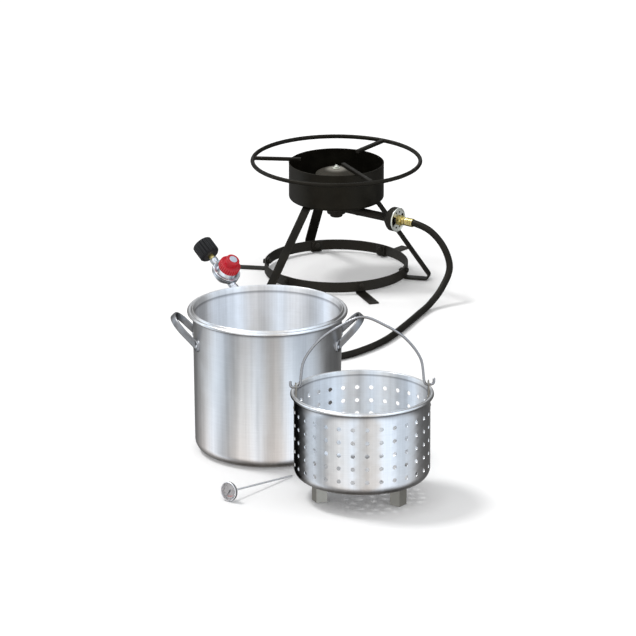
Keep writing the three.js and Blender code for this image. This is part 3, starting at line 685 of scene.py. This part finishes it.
def pot_ring():
    bm = bmesh.new()
    rod(bm, [STAND_CENTRE + polar(RING_RADIUS, 2.5 * i, RING_Z) for i in range(144)], RING_ROD, closed=True)
    piece("ring_rod", bm, "paint", "stand", "pot_ring", at=STAND_CENTRE)
    seam = bmesh.new()
    place = toward(polar(1, 67), STAND_CENTRE + polar(RING_RADIUS, -23, RING_Z))
    lathe(seam, [(0, -3), (5.1, -2.6), (5.5, 0), (5.1, 2.6), (0, 3)], 16, place)
    piece("ring_seam_weld", seam, "paint", "stand")


def support_bars():
    outer = RING_RADIUS - RING_ROD - 0.6
    for place, (angle, inner) in BARS.items():
        z = middle("support_bar_" + place).z
        path = [STAND_CENTRE + polar(inner + (outer - inner) * t, angle, z) for t in (0, 0.01, 0.5, 0.99, 1)]
        bm = bmesh.new()
        sweep(bm, path, ring_of(20, 5, 4, power=8))
        piece("cross_bar_" + place, bm, "paint", "stand", "support_bar_" + place, at=STAND_CENTRE)
        welds = bmesh.new()
        for side in (-5, 5):
            spot = STAND_CENTRE + polar(RING_RADIUS - RING_ROD, angle, z - 1) + polar(side, angle + 90)
            bmesh.ops.create_icosphere(welds, subdivisions=3, radius=3, matrix=Matrix.Translation(spot))
        piece("cross_bar_welds_" + place, welds, "paint", "stand", at=STAND_CENTRE)


def wind_guard_pan():
    r, corner, sheet, hole = PAN_RADIUS, 8, 1.6, 27
    hub = r - corner
    bm = bmesh.new()
    lathe(bm, [
        (hole, PAN_LOW), *arc(hub, PAN_LOW + corner, corner, -90, 0, 12),
        (r, PAN_HIGH - 3), *arc(r - 0.9, PAN_HIGH - 1.2, 1.3, -40, 180, 8),
        (r - sheet, PAN_HIGH - 3), *arc(hub, PAN_LOW + corner, corner - sheet, 0, -90, 12),
        (hole, PAN_LOW + sheet), (hole, PAN_LOW),
    ], 144, Matrix.Translation(STAND_CENTRE))
    piece("wind_guard", bm, "pan", "stand", "wind_guard_pan", at=STAND_CENTRE)


def pan_stud():
    """A blind rivet under the pan's front edge."""
    bm = bmesh.new()
    rivet_head(bm, toward(-UP, STAND_CENTRE + polar(94, -64, PAN_LOW - 0.3)), 5, 4)
    piece("pan_stud", bm, "casting", "stand", at=STAND_CENTRE)


def burner_casting():
    """The hub's boss, the neck through the pan, the bowl, and the mixing tube with its bell."""
    tube, floor = SHUTTER.z, PAN_LOW + 1.9
    bm = bmesh.new()
    lathe(bm, [
        (0, tube - 24), (13.5, tube - 24), (15, tube - 22.5), (15, tube - 17), (19, tube - 17),
        (22, tube - 15.5), (23, tube - 12), (23, floor), (41, floor), (42, floor + 1), (42, floor + 4),
        (40, floor + 5), (30, floor + 7), (30, floor + 12), (48, BURNER_Z - 13), (50, BURNER_Z - 10),
        (50, BURNER_Z - 1), (49, BURNER_Z), (46, BURNER_Z), (45, BURNER_Z - 9), (17, floor + 9),
        (17, tube - 8), (0, tube - 11),
    ], 72, Matrix.Translation(STAND_CENTRE))
    lathe(bm, [
        (7.5, 18), (10, 18), (10, 60), (10.6, 62), (10.6, 66), (10, 68), (10, 143), (11.5, 147), (27, 163),
        (29, 166), (29, 179.2), (28.2, 180), (26, 180), (26, 169), (7.5, 149), (7.5, 18),
    ], 48, TUBE)
    flat_plate(bm, circle(26.4, 48), [circle(5.6, 24), *fan_windows()], 177, 180, TUBE)
    for turn in (0, math.pi):
        box_between(bm, (9, -1.5, 140), (16, 1.5, 156), TUBE @ Matrix.Rotation(turn, 4, "Z"), 0.6)
    piece("burner_body", bm, "casting", "stand", "burner_casting", at=STAND_CENTRE, bevel=0.4)


def burner_cap():
    """A domed cap whose edge is scalloped by the flame ports."""
    bore, steps, ports = 3.7, 144, 24
    outline = [
        (bore, 0.3), (48, 0.3), (49.6, 1.5), (50, 3.3), (48.5, 5.2), (42, 8.6), (33, 12.4), (24, 14.6),
        (14, CAP_TALL), (bore, CAP_TALL), (bore, 0.3),
    ]
    rings = []
    for r, z in outline:
        depth = 0.035 if r > 40 and z > 1 else 0
        ring = []
        for i in range(steps):
            dip = 1 - depth * max(math.cos(TURN * ports * i / steps), 0)
            ring.append(STAND_CENTRE + polar(r * dip, 360 * i / steps, BURNER_Z + z))
        rings.append(ring)
    bm = bmesh.new()
    loft(bm, rings)
    piece("burner_dome", bm, "burner", "stand", "burner_cap", at=STAND_CENTRE)


def burner_stud():
    top, foot, pitch, shank = BURNER_Z + CAP_TALL, BURNER_Z - 18, 0.5, 3
    thread = [(shank - (0.35 if k % 2 else 0), foot + k * pitch) for k in range(86)]
    washer = [(0, top + 0.5), (9, top + 0.5), (9, top + 1.5), (0, top + 1.5)]
    nut = [(0, top + 1.6), (5.5, top + 1.6), (6, top + 2.2), (6, top + 5), (5.2, top + 5.8), (0, top + 5.8)]
    bm = bmesh.new()
    for outline, sides in (([(0, foot), *thread, (0, top + 9)], 16), (washer, 32), (nut, 6)):
        lathe(bm, outline, sides, Matrix.Translation(STAND_CENTRE))
    piece("burner_stud_and_nut", bm, "zinc", "stand", "burner_stud", at=STAND_CENTRE)


def fan_windows():
    """The outlines of the two windows that let air into the mixing tube."""
    near, far, half, steps = 10, 24, 35, 8
    windows = []
    for middle_angle in (0, 180):
        angles = [middle_angle - half + 2 * half * i / steps for i in range(steps + 1)]
        windows.append([polar(far, a).xy for a in angles] + [polar(near, a).xy for a in reversed(angles)])
    return windows


def air_shutter():
    drilled = [circle(2.6, 12, *polar(19, a).xy) for a in (70, 110, 250, 290)]
    bm = bmesh.new()
    flat_plate(bm, circle(28, 64), [circle(5.7, 24), *fan_windows(), *drilled], 180.4, 181.6, TUBE)
    edge = [(25.6, 181.5), (28.6, 180.4), (29.2, 181), (29.2, 182.2), (28, 183), (26.4, 182.8), (25.6, 181.5)]
    lathe(bm, edge, 64, TUBE)
    piece("shutter_disc", bm, "zinc", "shutter", "air_shutter", at=SHUTTER)


def gas_jet():
    bm = bmesh.new()
    nose = [(0, 168), (3, 168), (5, 171), (5, 183), (12, 183), (12.4, 183.6), (12.4, 185), (0, 185)]
    lathe(bm, nose, 32, TUBE)
    for low, high, corner, turn in ((185.1, 194.6, 12.6, 0), (197, 202.6, 10.6, 0.4)):
        edge = corner - 1
        nut = [(0, low), (edge, low), (corner, low + 0.9), (corner, high - 0.9), (edge, high), (0, high)]
        lathe(bm, nut, 6, TUBE @ Matrix.Rotation(turn, 4, "Z"))
    neck = [(0, 194.6), (8.6, 194.6), (8.6, 197), (7.4, 198), (7.4, 203), (8.4, 203.6), (8.4, 206), (0, 206)]
    lathe(bm, neck, 32, TUBE)
    piece("jet_fitting", bm, "brass", "stand", "orifice_fitting", at=SHUTTER, bevel=0.3)


def crimped_ferrule(name, node, matrix):
    """A sleeve squeezed on to the hose in three bands."""
    inner, outer, groove, long, soft = 8.4, 10.2, 9.3, 20, 0.6
    outline = [(inner, 0), (outer - soft, 0), (outer, soft)]
    for z in (2.8, 8.3, 13.8):
        outline += [(outer, z), (groove, z + 0.7), (groove, z + 2.4), (outer, z + 3.1)]
    outline += [(outer, long - soft), (outer - soft, long), (inner, long), (inner, 0)]
    bm = bmesh.new()
    lathe(bm, outline, 32, matrix)
    piece(name, bm, "brass", "stand", node, at=matrix.translation)


def strap(name, node, line, bend, thick, angle):
    """A flat strap bent in the upright plane through the stand's axis: line holds (distance, height)."""
    path = [STAND_CENTRE + polar(distance, angle, z) for distance, z in rounded_line(line, bend)]
    bm = bmesh.new()
    sweep(bm, path, ring_of(16, STRAP_WIDE / 2, thick / 2, power=7), first_side=polar(1, angle + 90))
    piece(name, bm, "paint", "stand", node, at=STAND_CENTRE)


def legs():
    outer, thick = 238, 4
    tab, inside = PAN_LOW - 2.3, TAB_FACE - thick / 2
    line = [(72, tab), (102, tab), (outer, thick / 2), (inside, thick / 2), (inside, HOOP_BOLT_Z + 8)]
    for place, angle in LEG_ANGLES.items():
        strap("leg_strap_" + place, "leg_" + place, line, 9, thick, angle)
        head = STAND_CENTRE + polar(87, angle, PAN_LOW - 4.6)
        bolt("pan_bolt_" + place, "leg_bolt_" + place, head, UP, 6.5)
        hoop_bolt("leg_foot_bolt_" + place, "leg_hoop_bolt_" + place, angle, thick)


def stabilisers():
    outer, thick = 262, 3
    inside = TAB_FACE - thick / 2
    line = [(outer, thick / 2), (inside, thick / 2), (inside, HOOP_BOLT_Z + 8)]
    for place, angle in STABILISER_ANGLES.items():
        strap("stabiliser_strap_" + place, "stabiliser_" + place, line, 6, thick, angle)
        hoop_bolt("stabiliser_foot_bolt_" + place, "stabiliser_bolt_" + place, angle, thick)


def bolt(name, node, seat, direction, grip):
    """A hexagon bolt with washers and a nut: the head bears on the seat and points away from direction."""
    across, shank, head, nut, chamfer, gap = 10, 3, 4, 5, 0.7, 0.1
    corner = across / 2 / math.cos(math.pi / 6)
    edge, thread, tip = corner * 0.8, shank * 0.98, shank * 0.7
    under, over, end = -1 - gap, grip + 1 + gap, grip + nut
    top = under - gap - head
    washer = [(shank, -1), (corner * 1.12, -1), (corner * 1.12, 0), (shank, 0), (shank, -1)]
    bm = bmesh.new()
    for outline, sides in (
        (washer, 32),
        ([(r, grip - z) for r, z in washer], 32),
        ([(0, top), (edge, top), (corner, top + chamfer), (corner, under), (0, under)], 6),
        ([(0, over), (corner, over), (corner, end), (edge, end + 1), (0, end + 1)], 6),
        ([(0, -0.5), (thread, -0.5), (thread, end + 3), (tip, end + 4), (0, end + 4)], 20),
    ):
        lathe(bm, outline, sides, toward(direction, seat))
    piece(name, bm, "casting", "stand", node, at=seat)


def hoop_bolt(name, node, angle, thick):
    seat = STAND_CENTRE + polar(HOOP_RADIUS + 0.6, angle, HOOP_BOLT_Z)
    bolt(name, node, seat, -polar(1, angle), HOOP_RADIUS - TAB_FACE + thick + 1)


def base_hoop():
    outer, inner, soft = HOOP_RADIUS, HOOP_RADIUS - HOOP_THICK, 0.8
    bm = bmesh.new()
    lathe(bm, [
        (inner + soft, HOOP_LOW), (outer - soft, HOOP_LOW), (outer, HOOP_LOW + soft),
        (outer, HOOP_HIGH - soft), (outer - soft, HOOP_HIGH), (inner + soft, HOOP_HIGH),
        (inner, HOOP_HIGH - soft), (inner, HOOP_LOW + soft), (inner + soft, HOOP_LOW),
    ], 180, Matrix.Translation(STAND_CENTRE))
    piece("hoop_band", bm, "paint", "stand", "base_hoop", at=STAND_CENTRE)
    seam = bmesh.new()
    heights = (HOOP_LOW + 3, (HOOP_LOW + HOOP_HIGH) / 2, HOOP_HIGH - 3)
    rod(seam, [STAND_CENTRE + polar(outer, 80, z) for z in heights], 1.8, 12)
    piece("hoop_seam_weld", seam, "paint", "stand")


# ---------------------------------------------------------------- hose and regulator

REG = toward(REGULATOR_UP, REGULATOR, REGULATOR_ALONG)
FLOW = REG @ Matrix.Translation((0, 0, -10)) @ Matrix.Rotation(math.pi / 2, 4, "Y")


def gas_hose():
    burner_end = SHUTTER + TUBE_OUT * 206.6
    straight = [0, 10, 20, 26]
    droop = [(382, 1136, 155), (414, 1110, 122), (427, 1086, 80), (408, 1052, 40), (380, 1012, 14)]
    floor = [
        (352, 950), (318, 860), (276, 761), (232, 694), (178, 640), (114, 612), (52, 632), (14, 700),
        (-2, 790), (-6, 880), (-16, 945),
    ]
    rise = [(-28, 968, 9), (-38, 982, 11.5)]
    path = smooth_path([
        *(burner_end + TUBE_OUT * d for d in straight), *droop, *((*p, 8.3) for p in floor), *rise,
        *(FLOW @ Vector((0, 0, -56.6 - d)) for d in reversed(straight)),
    ], 12)
    bm = bmesh.new()
    sweep(bm, path, ring_of(24, 8))
    piece("hose", bm, "rubber", "stand", "gas_hose")
    for place, direction, end in (
        ("burner", TUBE_OUT, burner_end - TUBE_OUT * 0.3),
        ("regulator", -REGULATOR_ALONG, FLOW @ Vector((0, 0, -56.3))),
    ):
        crimped_ferrule("hose_sleeve_" + place, "hose_ferrule_" + place, toward(direction, end))


def regulator_body():
    bm = bmesh.new()
    lathe(bm, [(0, -32), (8, -32), (9, -31), (12, -23), (21, -20), (32.5, -8), (34, -6), (34, 0), (0, 0)], 64,
          REG)
    lathe(bm, [(0, -56), (7, -56), (7, -50), (9, -46), (9, 42), (9.6, 43), (9.6, 49), (9, 50), (0, 50)], 32,
          FLOW)
    lathe(bm, [(0, -52), (9.4, -52), (10.4, -51), (10.4, -40), (9.4, -39), (0, -39)], 6, FLOW)
    for k in range(2):
        side = Matrix.Rotation(math.pi * k, 4, "Z")
        box_between(bm, (24, -3, -16), (36, 3, -3), REG @ side, 1)
    hidden = ("regulator_diaphragm", "regulator_spring")
    piece("regulator_casting", bm, "die_cast", "stand", "regulator_body", *hidden, at=REGULATOR, bevel=0.5)


def regulator_bonnet():
    bm = bmesh.new()
    lathe(bm, [
        (19, 1.2), (33.2, 1.2), (34, 2), (34, 4.4), (33.2, 5.2), (29.5, 5.2), (28.7, 4.3), (27.6, 4.3),
        (26.6, 6), (25.6, 9.5), (24, 12), (11, 12), (11, 24), (8, 24), (8, 9), (19, 7), (19, 1.2),
    ], 72, REG)
    piece("bonnet", bm, "die_cast", "stand", "regulator_bonnet", at=REGULATOR)
    screw = [(0, 0), (2, 0), (2, 1.2), (1.4, 1.9), (0.6, 1.9), (0.6, 1.2), (0, 1.2)]
    screws = bmesh.new()
    for k in range(6):
        turn = Matrix.Rotation(TURN * (k + 0.5) / 6, 4, "Z")
        lathe(screws, screw, 12, REG @ turn @ Matrix.Translation((31.2, 0, 5.3)))
    piece("bonnet_screws", screws, "zinc", "stand", at=REGULATOR)


def pressure_knob():
    skirt = bmesh.new()
    fluted(skirt, [
        (12.5, 24, 0), (12.5, 13.2, 0), (25, 13, 0), (25.8, 13.6, 1), (26, 15, 1), (26, 26.5, 1),
        (25.4, 28, 1), (23.6, 29.6, 0.3), (20.5, 30.4, 0), (17.6, 30.8, 0), (17, 31.6, 0), (16.8, 33, 0),
        (16.6, 42.4, 0), (16.1, 43.8, 0), (15, 44.6, 0), (13.4, 44.8, 0),
    ], 240, 30, 1.5, REG, capped=True)
    piece("knob_shell", skirt, "red", "knob", "pressure_knob", at=REGULATOR)
    cap = bmesh.new()
    lathe(cap, [(0, 44), (9.6, 44), (9.6, 45.4), (9, 46), (0, 46.2)], 48, REG)
    box_between(cap, (-6.5, -1.2, 46), (6.5, 1.2, 47), REG, 0.4)
    piece("knob_cap", cap, "cap", "knob", at=REGULATOR)


def inlet_and_nut():
    stub = bmesh.new()
    lathe(stub, [
        (0, 50.3), (7, 50.3), (7, 66), (10, 67), (10, 72), (7.4, 73), (6, 78), (6, 92), (5, 95.6), (0, 96),
    ], 32, FLOW)
    piece("nipple", stub, "brass", "stand", "inlet_nipple", at=REGULATOR)
    wheel = bmesh.new()
    fluted(wheel, [
        (8, 60, 0), (19.4, 60, 0), (21.4, 61.2, 0.4), (24, 64, 1), (25, 66, 1), (25, 96, 1), (24.4, 99, 0.8),
        (23, 100, 0), (17, 100, 0), (17, 66, 0), (8, 65, 0), (8, 60, 0),
    ], 216, 18, 2.2, FLOW, sharpness=3)
    piece("tank_nut", wheel, "black", "coupling", "coupling_nut", at=REGULATOR)


# ---------------------------------------------------------------- stock pot

POT_BASE, POT_TOP = 164, 168.5
HANDLE_Z = 258
HANDLE_FOOT = 48


def pot_shell():
    corner, wall, top = 27, 2.5, POT_HEIGHT
    hub = POT_BASE - corner
    outline = [
        (0, 0), (hub * 0.5, 0), *arc(hub, corner, corner, -90, 0, 14),
        (POT_TOP - 0.1, top - 14), (POT_TOP + 0.6, top - 12.6), (POT_TOP + 3, top - 12),
        *arc(POT_TOP + 8, top - 7.4, 4.5, -90, 100, 14),
        (POT_TOP + 4.6, top - 4.6), (POT_TOP + 3.4, top - 3.4),
        *arc(POT_TOP + 0.8, top - 1.6, 1.6, 0, 160, 8),
        (POT_TOP - wall, top - 6), *arc(hub, corner, corner - wall, 0, -90, 14), (hub * 0.5, wall), (0, wall),
    ]
    bm = bmesh.new()
    lathe(bm, outline, 192)
    piece("pot", bm, "pot", "pot", "pot_shell", sharp=40, inside="pot_inside_lit")


def pot_handles():
    wall = POT_BASE + (POT_TOP - POT_BASE) * HANDLE_Z / POT_HEIGHT
    foot_x = math.sqrt(wall ** 2 - HANDLE_FOOT ** 2)
    bearing = math.degrees(math.asin(HANDLE_FOOT / wall))
    slope = math.radians(46)
    out = (212 - foot_x) / math.cos(slope)
    half = [(-2, 50), (4, 48.5), (out * 0.3, 46), (out * 0.6, 43), (out * 0.85, 32), (out * 0.97, 16)]
    flat = [*((u, -v) for u, v in half), (out, 0), *reversed(half)]
    for place, turn in (("right", 0), ("left", math.pi)):
        about = Matrix.Rotation(turn, 4, "Z")
        path = [Vector((foot_x + u * math.cos(slope), v, HANDLE_Z + u * math.sin(slope))) for u, v in flat]
        path = smooth_path([about @ p for p in path], 6)
        plane_normal = about @ Vector((-math.sin(slope), 0, math.cos(slope)))
        bm = bmesh.new()
        sweep(bm, path, ring_of(24, 7.5, 2.9, power=3.4), first_side=plane_normal)
        for side in (-1, 1):
            direction = polar(1, side * bearing)
            base = about @ toward(direction, direction * (wall + 0.2) + UP * HANDLE_Z)
            foot = [(19 * x, 13 * y) for x, y in ring_of(48, 1, 1, power=3.2)]
            loft(bm, [
                [base @ Vector((x * share, y * share, height - x * x * 0.003)) for x, y in foot]
                for share, height in ((1, 0), (1, 2.2), (0.95, 3.2), (0.8, 3.8))
            ], capped=True)
        origin = about @ Vector((foot_x, 0, HANDLE_Z))
        piece("handle_" + place, bm, "handle", "pot", "pot_handle_" + place, at=origin)
        rivets(place, about, wall, bearing)


def rivets(place, about, wall, bearing):
    count = 0
    for side in (-1, 1):
        direction = polar(1, side * bearing)
        for offset in (-13, 13):
            count += 1
            seat = direction * (wall + 3.2) + polar(offset, side * bearing + 90) + UP * HANDLE_Z
            bm = bmesh.new()
            rivet_head(bm, about @ toward(direction, seat), 4.6, 2.9)
            inside = direction * (wall - 2.6) + polar(offset, side * bearing + 90) + UP * HANDLE_Z
            rivet_head(bm, about @ toward(-direction, inside), 4.2, 1.6)
            name = f"{place}_{count}"
            piece("pot_rivet_" + name, bm, "rivet", "pot", "handle_rivet_" + name, at=about @ seat)


# ---------------------------------------------------------------- lift-out basket

BASKET = Matrix.Translation(BASKET_CENTRE) @ Matrix.Rotation(math.atan2(BAIL_AXIS.y, BAIL_AXIS.x), 4, "Z")
BASKET_RADIUS = 152
WALL = 1.6


def basket_shell():
    outer, inner, corner = BASKET_RADIUS, BASKET_RADIUS - WALL, 25
    hub = outer - corner
    bend = BASKET_FLOOR + corner
    rows = [[(z - 15.25), z, (z + 15.25)] for z in (203, 172.5, 142, 111.5, 81)]
    rows[-1][0] = bend
    top_row = rows[0][2]
    bm = bmesh.new()
    perforated(bm, 30, rows, 5, outer, inner)
    sides = 120
    lathe(bm, arc(hub, bend, corner, -90, 0, 12), sides)
    lathe(bm, arc(hub, bend, corner - WALL, -90, 0, 12), sides)
    rim = [
        (outer, top_row), (outer, BASKET_TOP - 9.4), (outer + 0.8, BASKET_TOP - 8.4),
        *arc(outer + 4, BASKET_TOP - 4.4, 4, -90, 110, 12),
        *arc(outer - 0.4, BASKET_TOP - 1.4, 1.3, 30, 180, 6),
        (inner, BASKET_TOP - 6), (inner, top_row),
    ]
    lathe(bm, rim, sides)
    holes = [circle(5, 16)]
    for ring, count in ((32, 6), (60, 12), (88, 18), (112, 24)):
        holes += [circle(5, 16, *polar(ring, 360 * (k + 0.5) / count).xy) for k in range(count)]
    flat_plate(bm, circle(hub, sides), holes, BASKET_FLOOR, BASKET_FLOOR + WALL)
    bmesh.ops.transform(bm, matrix=BASKET, verts=bm.verts)
    looks = {"sharp": 40, "inside": "basket_inside_lit"}
    piece("basket", bm, "basket", "basket", "basket_shell", at=BASKET_CENTRE, **looks)


def basket_legs():
    """Channels under the floor, each with a riveted tab on either side."""
    wide, deep, sheet = 13.5, 26, 1.8
    channel = [
        (0, -wide), (0, wide), (-deep, wide), (-deep, wide - sheet), (-sheet, wide - sheet),
        (-sheet, sheet - wide), (-deep, sheet - wide), (-deep, -wide),
    ]
    for place, angle in (("right", -42), ("rear", 78), ("left", 198)):
        web = BASKET @ Matrix.Rotation(math.radians(angle), 4, "Z") @ Matrix.Translation((115, 0, 0))
        bm = bmesh.new()
        flat_plate(bm, [Vector(p) for p in channel], [], 0, BASKET_FLOOR - 0.3, web)
        for side in (-1, 1):
            near, far = sorted((side * 13, side * 24))
            box_between(bm, (-22, near, BASKET_FLOOR - 2.2), (-4, far, BASKET_FLOOR - 0.4), web, 0.4)
            for face, up in ((BASKET_FLOOR + WALL, UP), (BASKET_FLOOR - 2.2, -UP)):
                rivet_head(bm, web @ toward(up, Vector((-13, side * 19, face))), 3, 1.6)
        origin = web @ Vector()
        piece("basket_foot_" + place, bm, "strip", "basket", "basket_leg_" + place, at=origin, bevel=0.5)


def bail_ears():
    stand = Matrix(((0, 0, 1), (1, 0, 0), (0, 1, 0))).to_4x4()  # the plate stands upright and faces out
    outline = [Vector(p) for p in [(12, -58), *arc(0, -2, 12, 0, 180, 12), (-12, -58)]]
    for place, turn in (("right", 0), ("left", math.pi)):
        side = BASKET @ Matrix.Rotation(turn, 4, "Z") @ Matrix.Translation((0, 0, BAIL_PIVOT.z))
        bm = bmesh.new()
        flat_plate(bm, outline, [circle(3.7, 24)], 146.4, 149.1, side @ stand)
        for z in (-48, -30):
            for face, direction in ((BASKET_RADIUS, (1, 0, 0)), (146.5, (-1, 0, 0))):
                rivet_head(bm, side @ toward(direction, Vector((face, 0, z))), 3.4, 1.8)
        origin = side @ Vector((148, 0, 0))
        piece("ear_" + place, bm, "strip", "basket", "bail_ear_" + place, at=origin, bevel=0.5)


def bail():
    side = [(160, 13), (159, 3), (155, 0), (148, 0), (143, 0), (139, 5), (130, 60), (96, 108), (50, 140)]
    points = [*side, (0, 160), *((-x, z) for x, z in reversed(side))]
    path = smooth_path([BASKET @ Vector((x, 0, BAIL_PIVOT.z + z)) for x, z in points], 10)
    bm = bmesh.new()
    rod(bm, path, 3, 20)
    piece("bail_wire", bm, "wire", "bail", "bail", at=BAIL_PIVOT)


# ---------------------------------------------------------------- dial thermometer

FACE = toward(DIAL_ALONG, DIAL)  # Z runs along the stem, away from the dial's face


def thermometer():
    case = bmesh.new()
    lathe(case, [
        (0, 7.8), (20.6, 7.8), (20.6, 2.4), (20.2, 1.2), (20.6, 0.2), (21.4, 0), (22, 0.6), (22, 2.2),
        (21.6, 2.8), (21.6, 6.6), (20.6, 8.4), (19, 9), (0, 9),
    ], 72, FACE)
    piece("dial_case", case, "stem", "thermometer", "thermometer_case", at=DIAL)
    stem = bmesh.new()
    lathe(stem, [(0, 9.2), (4.4, 9.2), (5, 9.8), (5, 14.6), (4.4, 15.2), (0, 15.2)], 6, FACE)
    rod_outline = [(0, 15), (3, 15), (3, 17), (2, 18.4), (2, 216), (1.6, 220), (0.4, 223.6), (0, 224)]
    lathe(stem, rod_outline, 24, FACE)
    piece("probe", stem, "stem", "thermometer", "thermometer_stem", at=DIAL)
    face = bmesh.new()
    lathe(face, [(0, 6.4), (20.2, 6.4), (20.2, 7.4), (0, 7.4)], 64, FACE)
    piece("dial_face", face, "white", "thermometer", "thermometer_dial", at=DIAL)
    dial_marks()
    lens = bmesh.new()
    lathe(lens, [(0, 0.5), (20.3, 1), (20.3, 2), (0, 1.6)], 64, FACE)
    piece("dial_lens", lens, "glass", "thermometer", "thermometer_lens", at=DIAL)
    hand = bmesh.new()
    pointer = [Vector(p) for p in [(-1.3, -5), (1.3, -5), (0.9, 8), (0.25, 15.5), (-0.25, 15.5), (-0.9, 8)]]
    flat_plate(hand, pointer, [], 5.2, 5.6, FACE @ Matrix.Rotation(needle_turn(), 4, "Z"))
    lathe(hand, [(0, 4.6), (1.9, 4.8), (2.1, 5.2), (2.1, 6.2), (0, 6.2)], 24, FACE)
    piece("dial_hand", hand, "print", "needle", "thermometer_needle", at=DIAL)


def needle_turn():
    """The angle about the dial's axis at which the frame's needle points."""
    tip = FACE.inverted() @ middle("thermometer_needle")
    return math.atan2(tip.y, tip.x) - math.pi / 2


def dial_marks():
    """Graduation ticks, with a red cooking zone; the dial carries no words or numerals."""
    ticks, zone = bmesh.new(), bmesh.new()
    for k in range(41):
        half, inner = (0.35, 14) if k % 5 == 0 else (0.2, 16)
        turned = FACE @ Matrix.Rotation(math.radians(45 + 270 * k / 40), 4, "Z")
        box_between(ticks, (-half, inner, 6.2), (half, 18.4, 6.45), turned)
    for k in range(24):
        start, end = 225 + 3 * k, 228 + 3 * k
        corners = ((11, start), (12.6, start), (12.6, end), (11, end))
        flat_plate(zone, [polar(*corner).xy for corner in corners], [], 6.2, 6.42, FACE)
    piece("dial_ticks", ticks, "print", "thermometer", at=DIAL)
    piece("dial_zone", zone, "zone", "thermometer", at=DIAL)


for build in (
    pot_ring, support_bars, wind_guard_pan, pan_stud, burner_casting, burner_cap, burner_stud, air_shutter,
    gas_jet, legs, stabilisers, base_hoop, gas_hose, regulator_body, regulator_bonnet, pressure_knob,
    inlet_and_nut, pot_shell, pot_handles, basket_shell, basket_legs, bail_ears, bail, thermometer,
):
    build()

# ---------------------------------------------------------------- floor, light and camera


def floor():
    s = Shader("pale_floor", roughness=0.9, Specular_IOR_Level=0.0)
    tone = s.ramp(s.noise(0.6, detail=3), (0.3, (0.9, 0.9, 0.9)), (0.7, (0.915, 0.915, 0.915)))
    material = s.finish(tone)
    bm = bmesh.new()
    bmesh.ops.create_grid(bm, x_segments=1, y_segments=1, size=40 / MM)
    mesh = to_mesh("floor", bm)
    mesh.materials.append(material)
    sheet = bpy.data.objects.new("floor", mesh)
    sheet.location = (0, 0, -0.5 * MM)
    sheet.visible_glossy = False
    bpy.context.scene.collection.objects.link(sheet)


TINTS = {"plain": (1, 1, 1), "cool": (0.9, 1.0, 1.12), "warm": (1.04, 1.0, 0.96)}
BANDS = (  # what a shiny wall reflects: degrees round from behind the camera, brightness and tint
    (-180, 0.3, "plain"), (-158, 0.12, "plain"), (-134, 0.18, "plain"), (-118, 0.46, "plain"),
    (-104, 0.8, "cool"), (-88, 0.28, "cool"), (-70, 0.24, "plain"), (-54, 0.56, "plain"), (-36, 0.6, "plain"),
    (-20, 0.72, "cool"), (-6, 0.5, "plain"), (4, 0.28, "warm"), (16, 0.42, "warm"), (30, 0.52, "warm"),
    (42, 0.74, "cool"), (56, 0.7, "cool"), (66, 0.52, "cool"), (80, 0.38, "cool"), (92, 0.54, "cool"),
    (104, 0.26, "plain"), (116, 0.06, "plain"), (150, 0.05, "plain"), (180, 0.3, "plain"),
)


def surroundings():
    """A white studio whose soft boxes follow the camera: shiny surfaces see bands of light and shade."""
    world = bpy.data.worlds.new("studio")
    bpy.context.scene.world = world
    world.use_nodes = True
    world.node_tree.nodes.clear()
    s = Nodes(world.node_tree)
    white = (1, 1, 1)
    places = s.add("TexCoord").outputs
    seen = s.add("SeparateXYZ", None, Vector=places["Camera"]).outputs
    azimuth = s.math("ARCTAN2", seen["X"], s.math("MULTIPLY", seen["Z"], -1.0))
    share = s.math("MULTIPLY_ADD", azimuth, 1 / TURN, 0.5)
    stops = [(degrees / 360 + 0.5, darker(TINTS[tint], value)) for degrees, value, tint in BANDS]
    bands = s.ramp(share, *stops)
    height = s.add("SeparateXYZ", None, Vector=places["Generated"]).outputs["Z"]
    level = s.math("MULTIPLY_ADD", height, 0.5, 0.5)
    fade = s.ramp(level, (0.0, (0.14, 0.13, 0.12)), (0.1, (0.3, 0.28, 0.26)), (0.2, white), (0.6, white),
                  (0.9, (1.25, 1.28, 1.32)))
    rays = s.add("LightPath").outputs
    fill = s.add("Background", None, Color=white, Strength=0.88).outputs[0]
    mirror = s.add("Background", None, Color=s.mix(1.0, bands, fade, "MULTIPLY"), Strength=2.0).outputs[0]
    sky = s.add("Background", None, Color=white, Strength=1.0).outputs[0]
    lit = s.add("MixShader", None, in0=rays["Is Glossy Ray"], in1=fill, in2=mirror).outputs[0]
    shown = s.add("MixShader", None, in0=rays["Is Camera Ray"], in1=lit, in2=sky).outputs[0]
    s.add("OutputWorld", None, Surface=shown)


def key_light():
    sun = bpy.data.lights.new("key", "SUN")
    sun.energy = 1.35
    sun.angle = math.radians(14)
    lamp = bpy.data.objects.new("key", sun)
    lamp.rotation_euler = Vector((-0.75, 0.35, 1.5)).to_track_quat("Z", "Y").to_euler()
    bpy.context.scene.collection.objects.link(lamp)


def camera():
    lens = bpy.data.cameras.new("camera")
    lens.lens = 500
    lens.clip_start, lens.clip_end = 1, 120
    eye = bpy.data.objects.new("camera", lens)
    target = Vector((0.114, 0.090, 0.278))
    elevation = math.radians(18)
    back = Vector((0, -math.cos(elevation), math.sin(elevation)))
    eye.location = target + back * 20
    eye.rotation_euler = (math.pi / 2 - elevation, 0, 0)
    bpy.context.scene.collection.objects.link(eye)
    bpy.context.scene.camera = eye


floor()
surroundings()
key_light()
camera()
bpy.context.scene.view_settings.view_transform = "Standard"
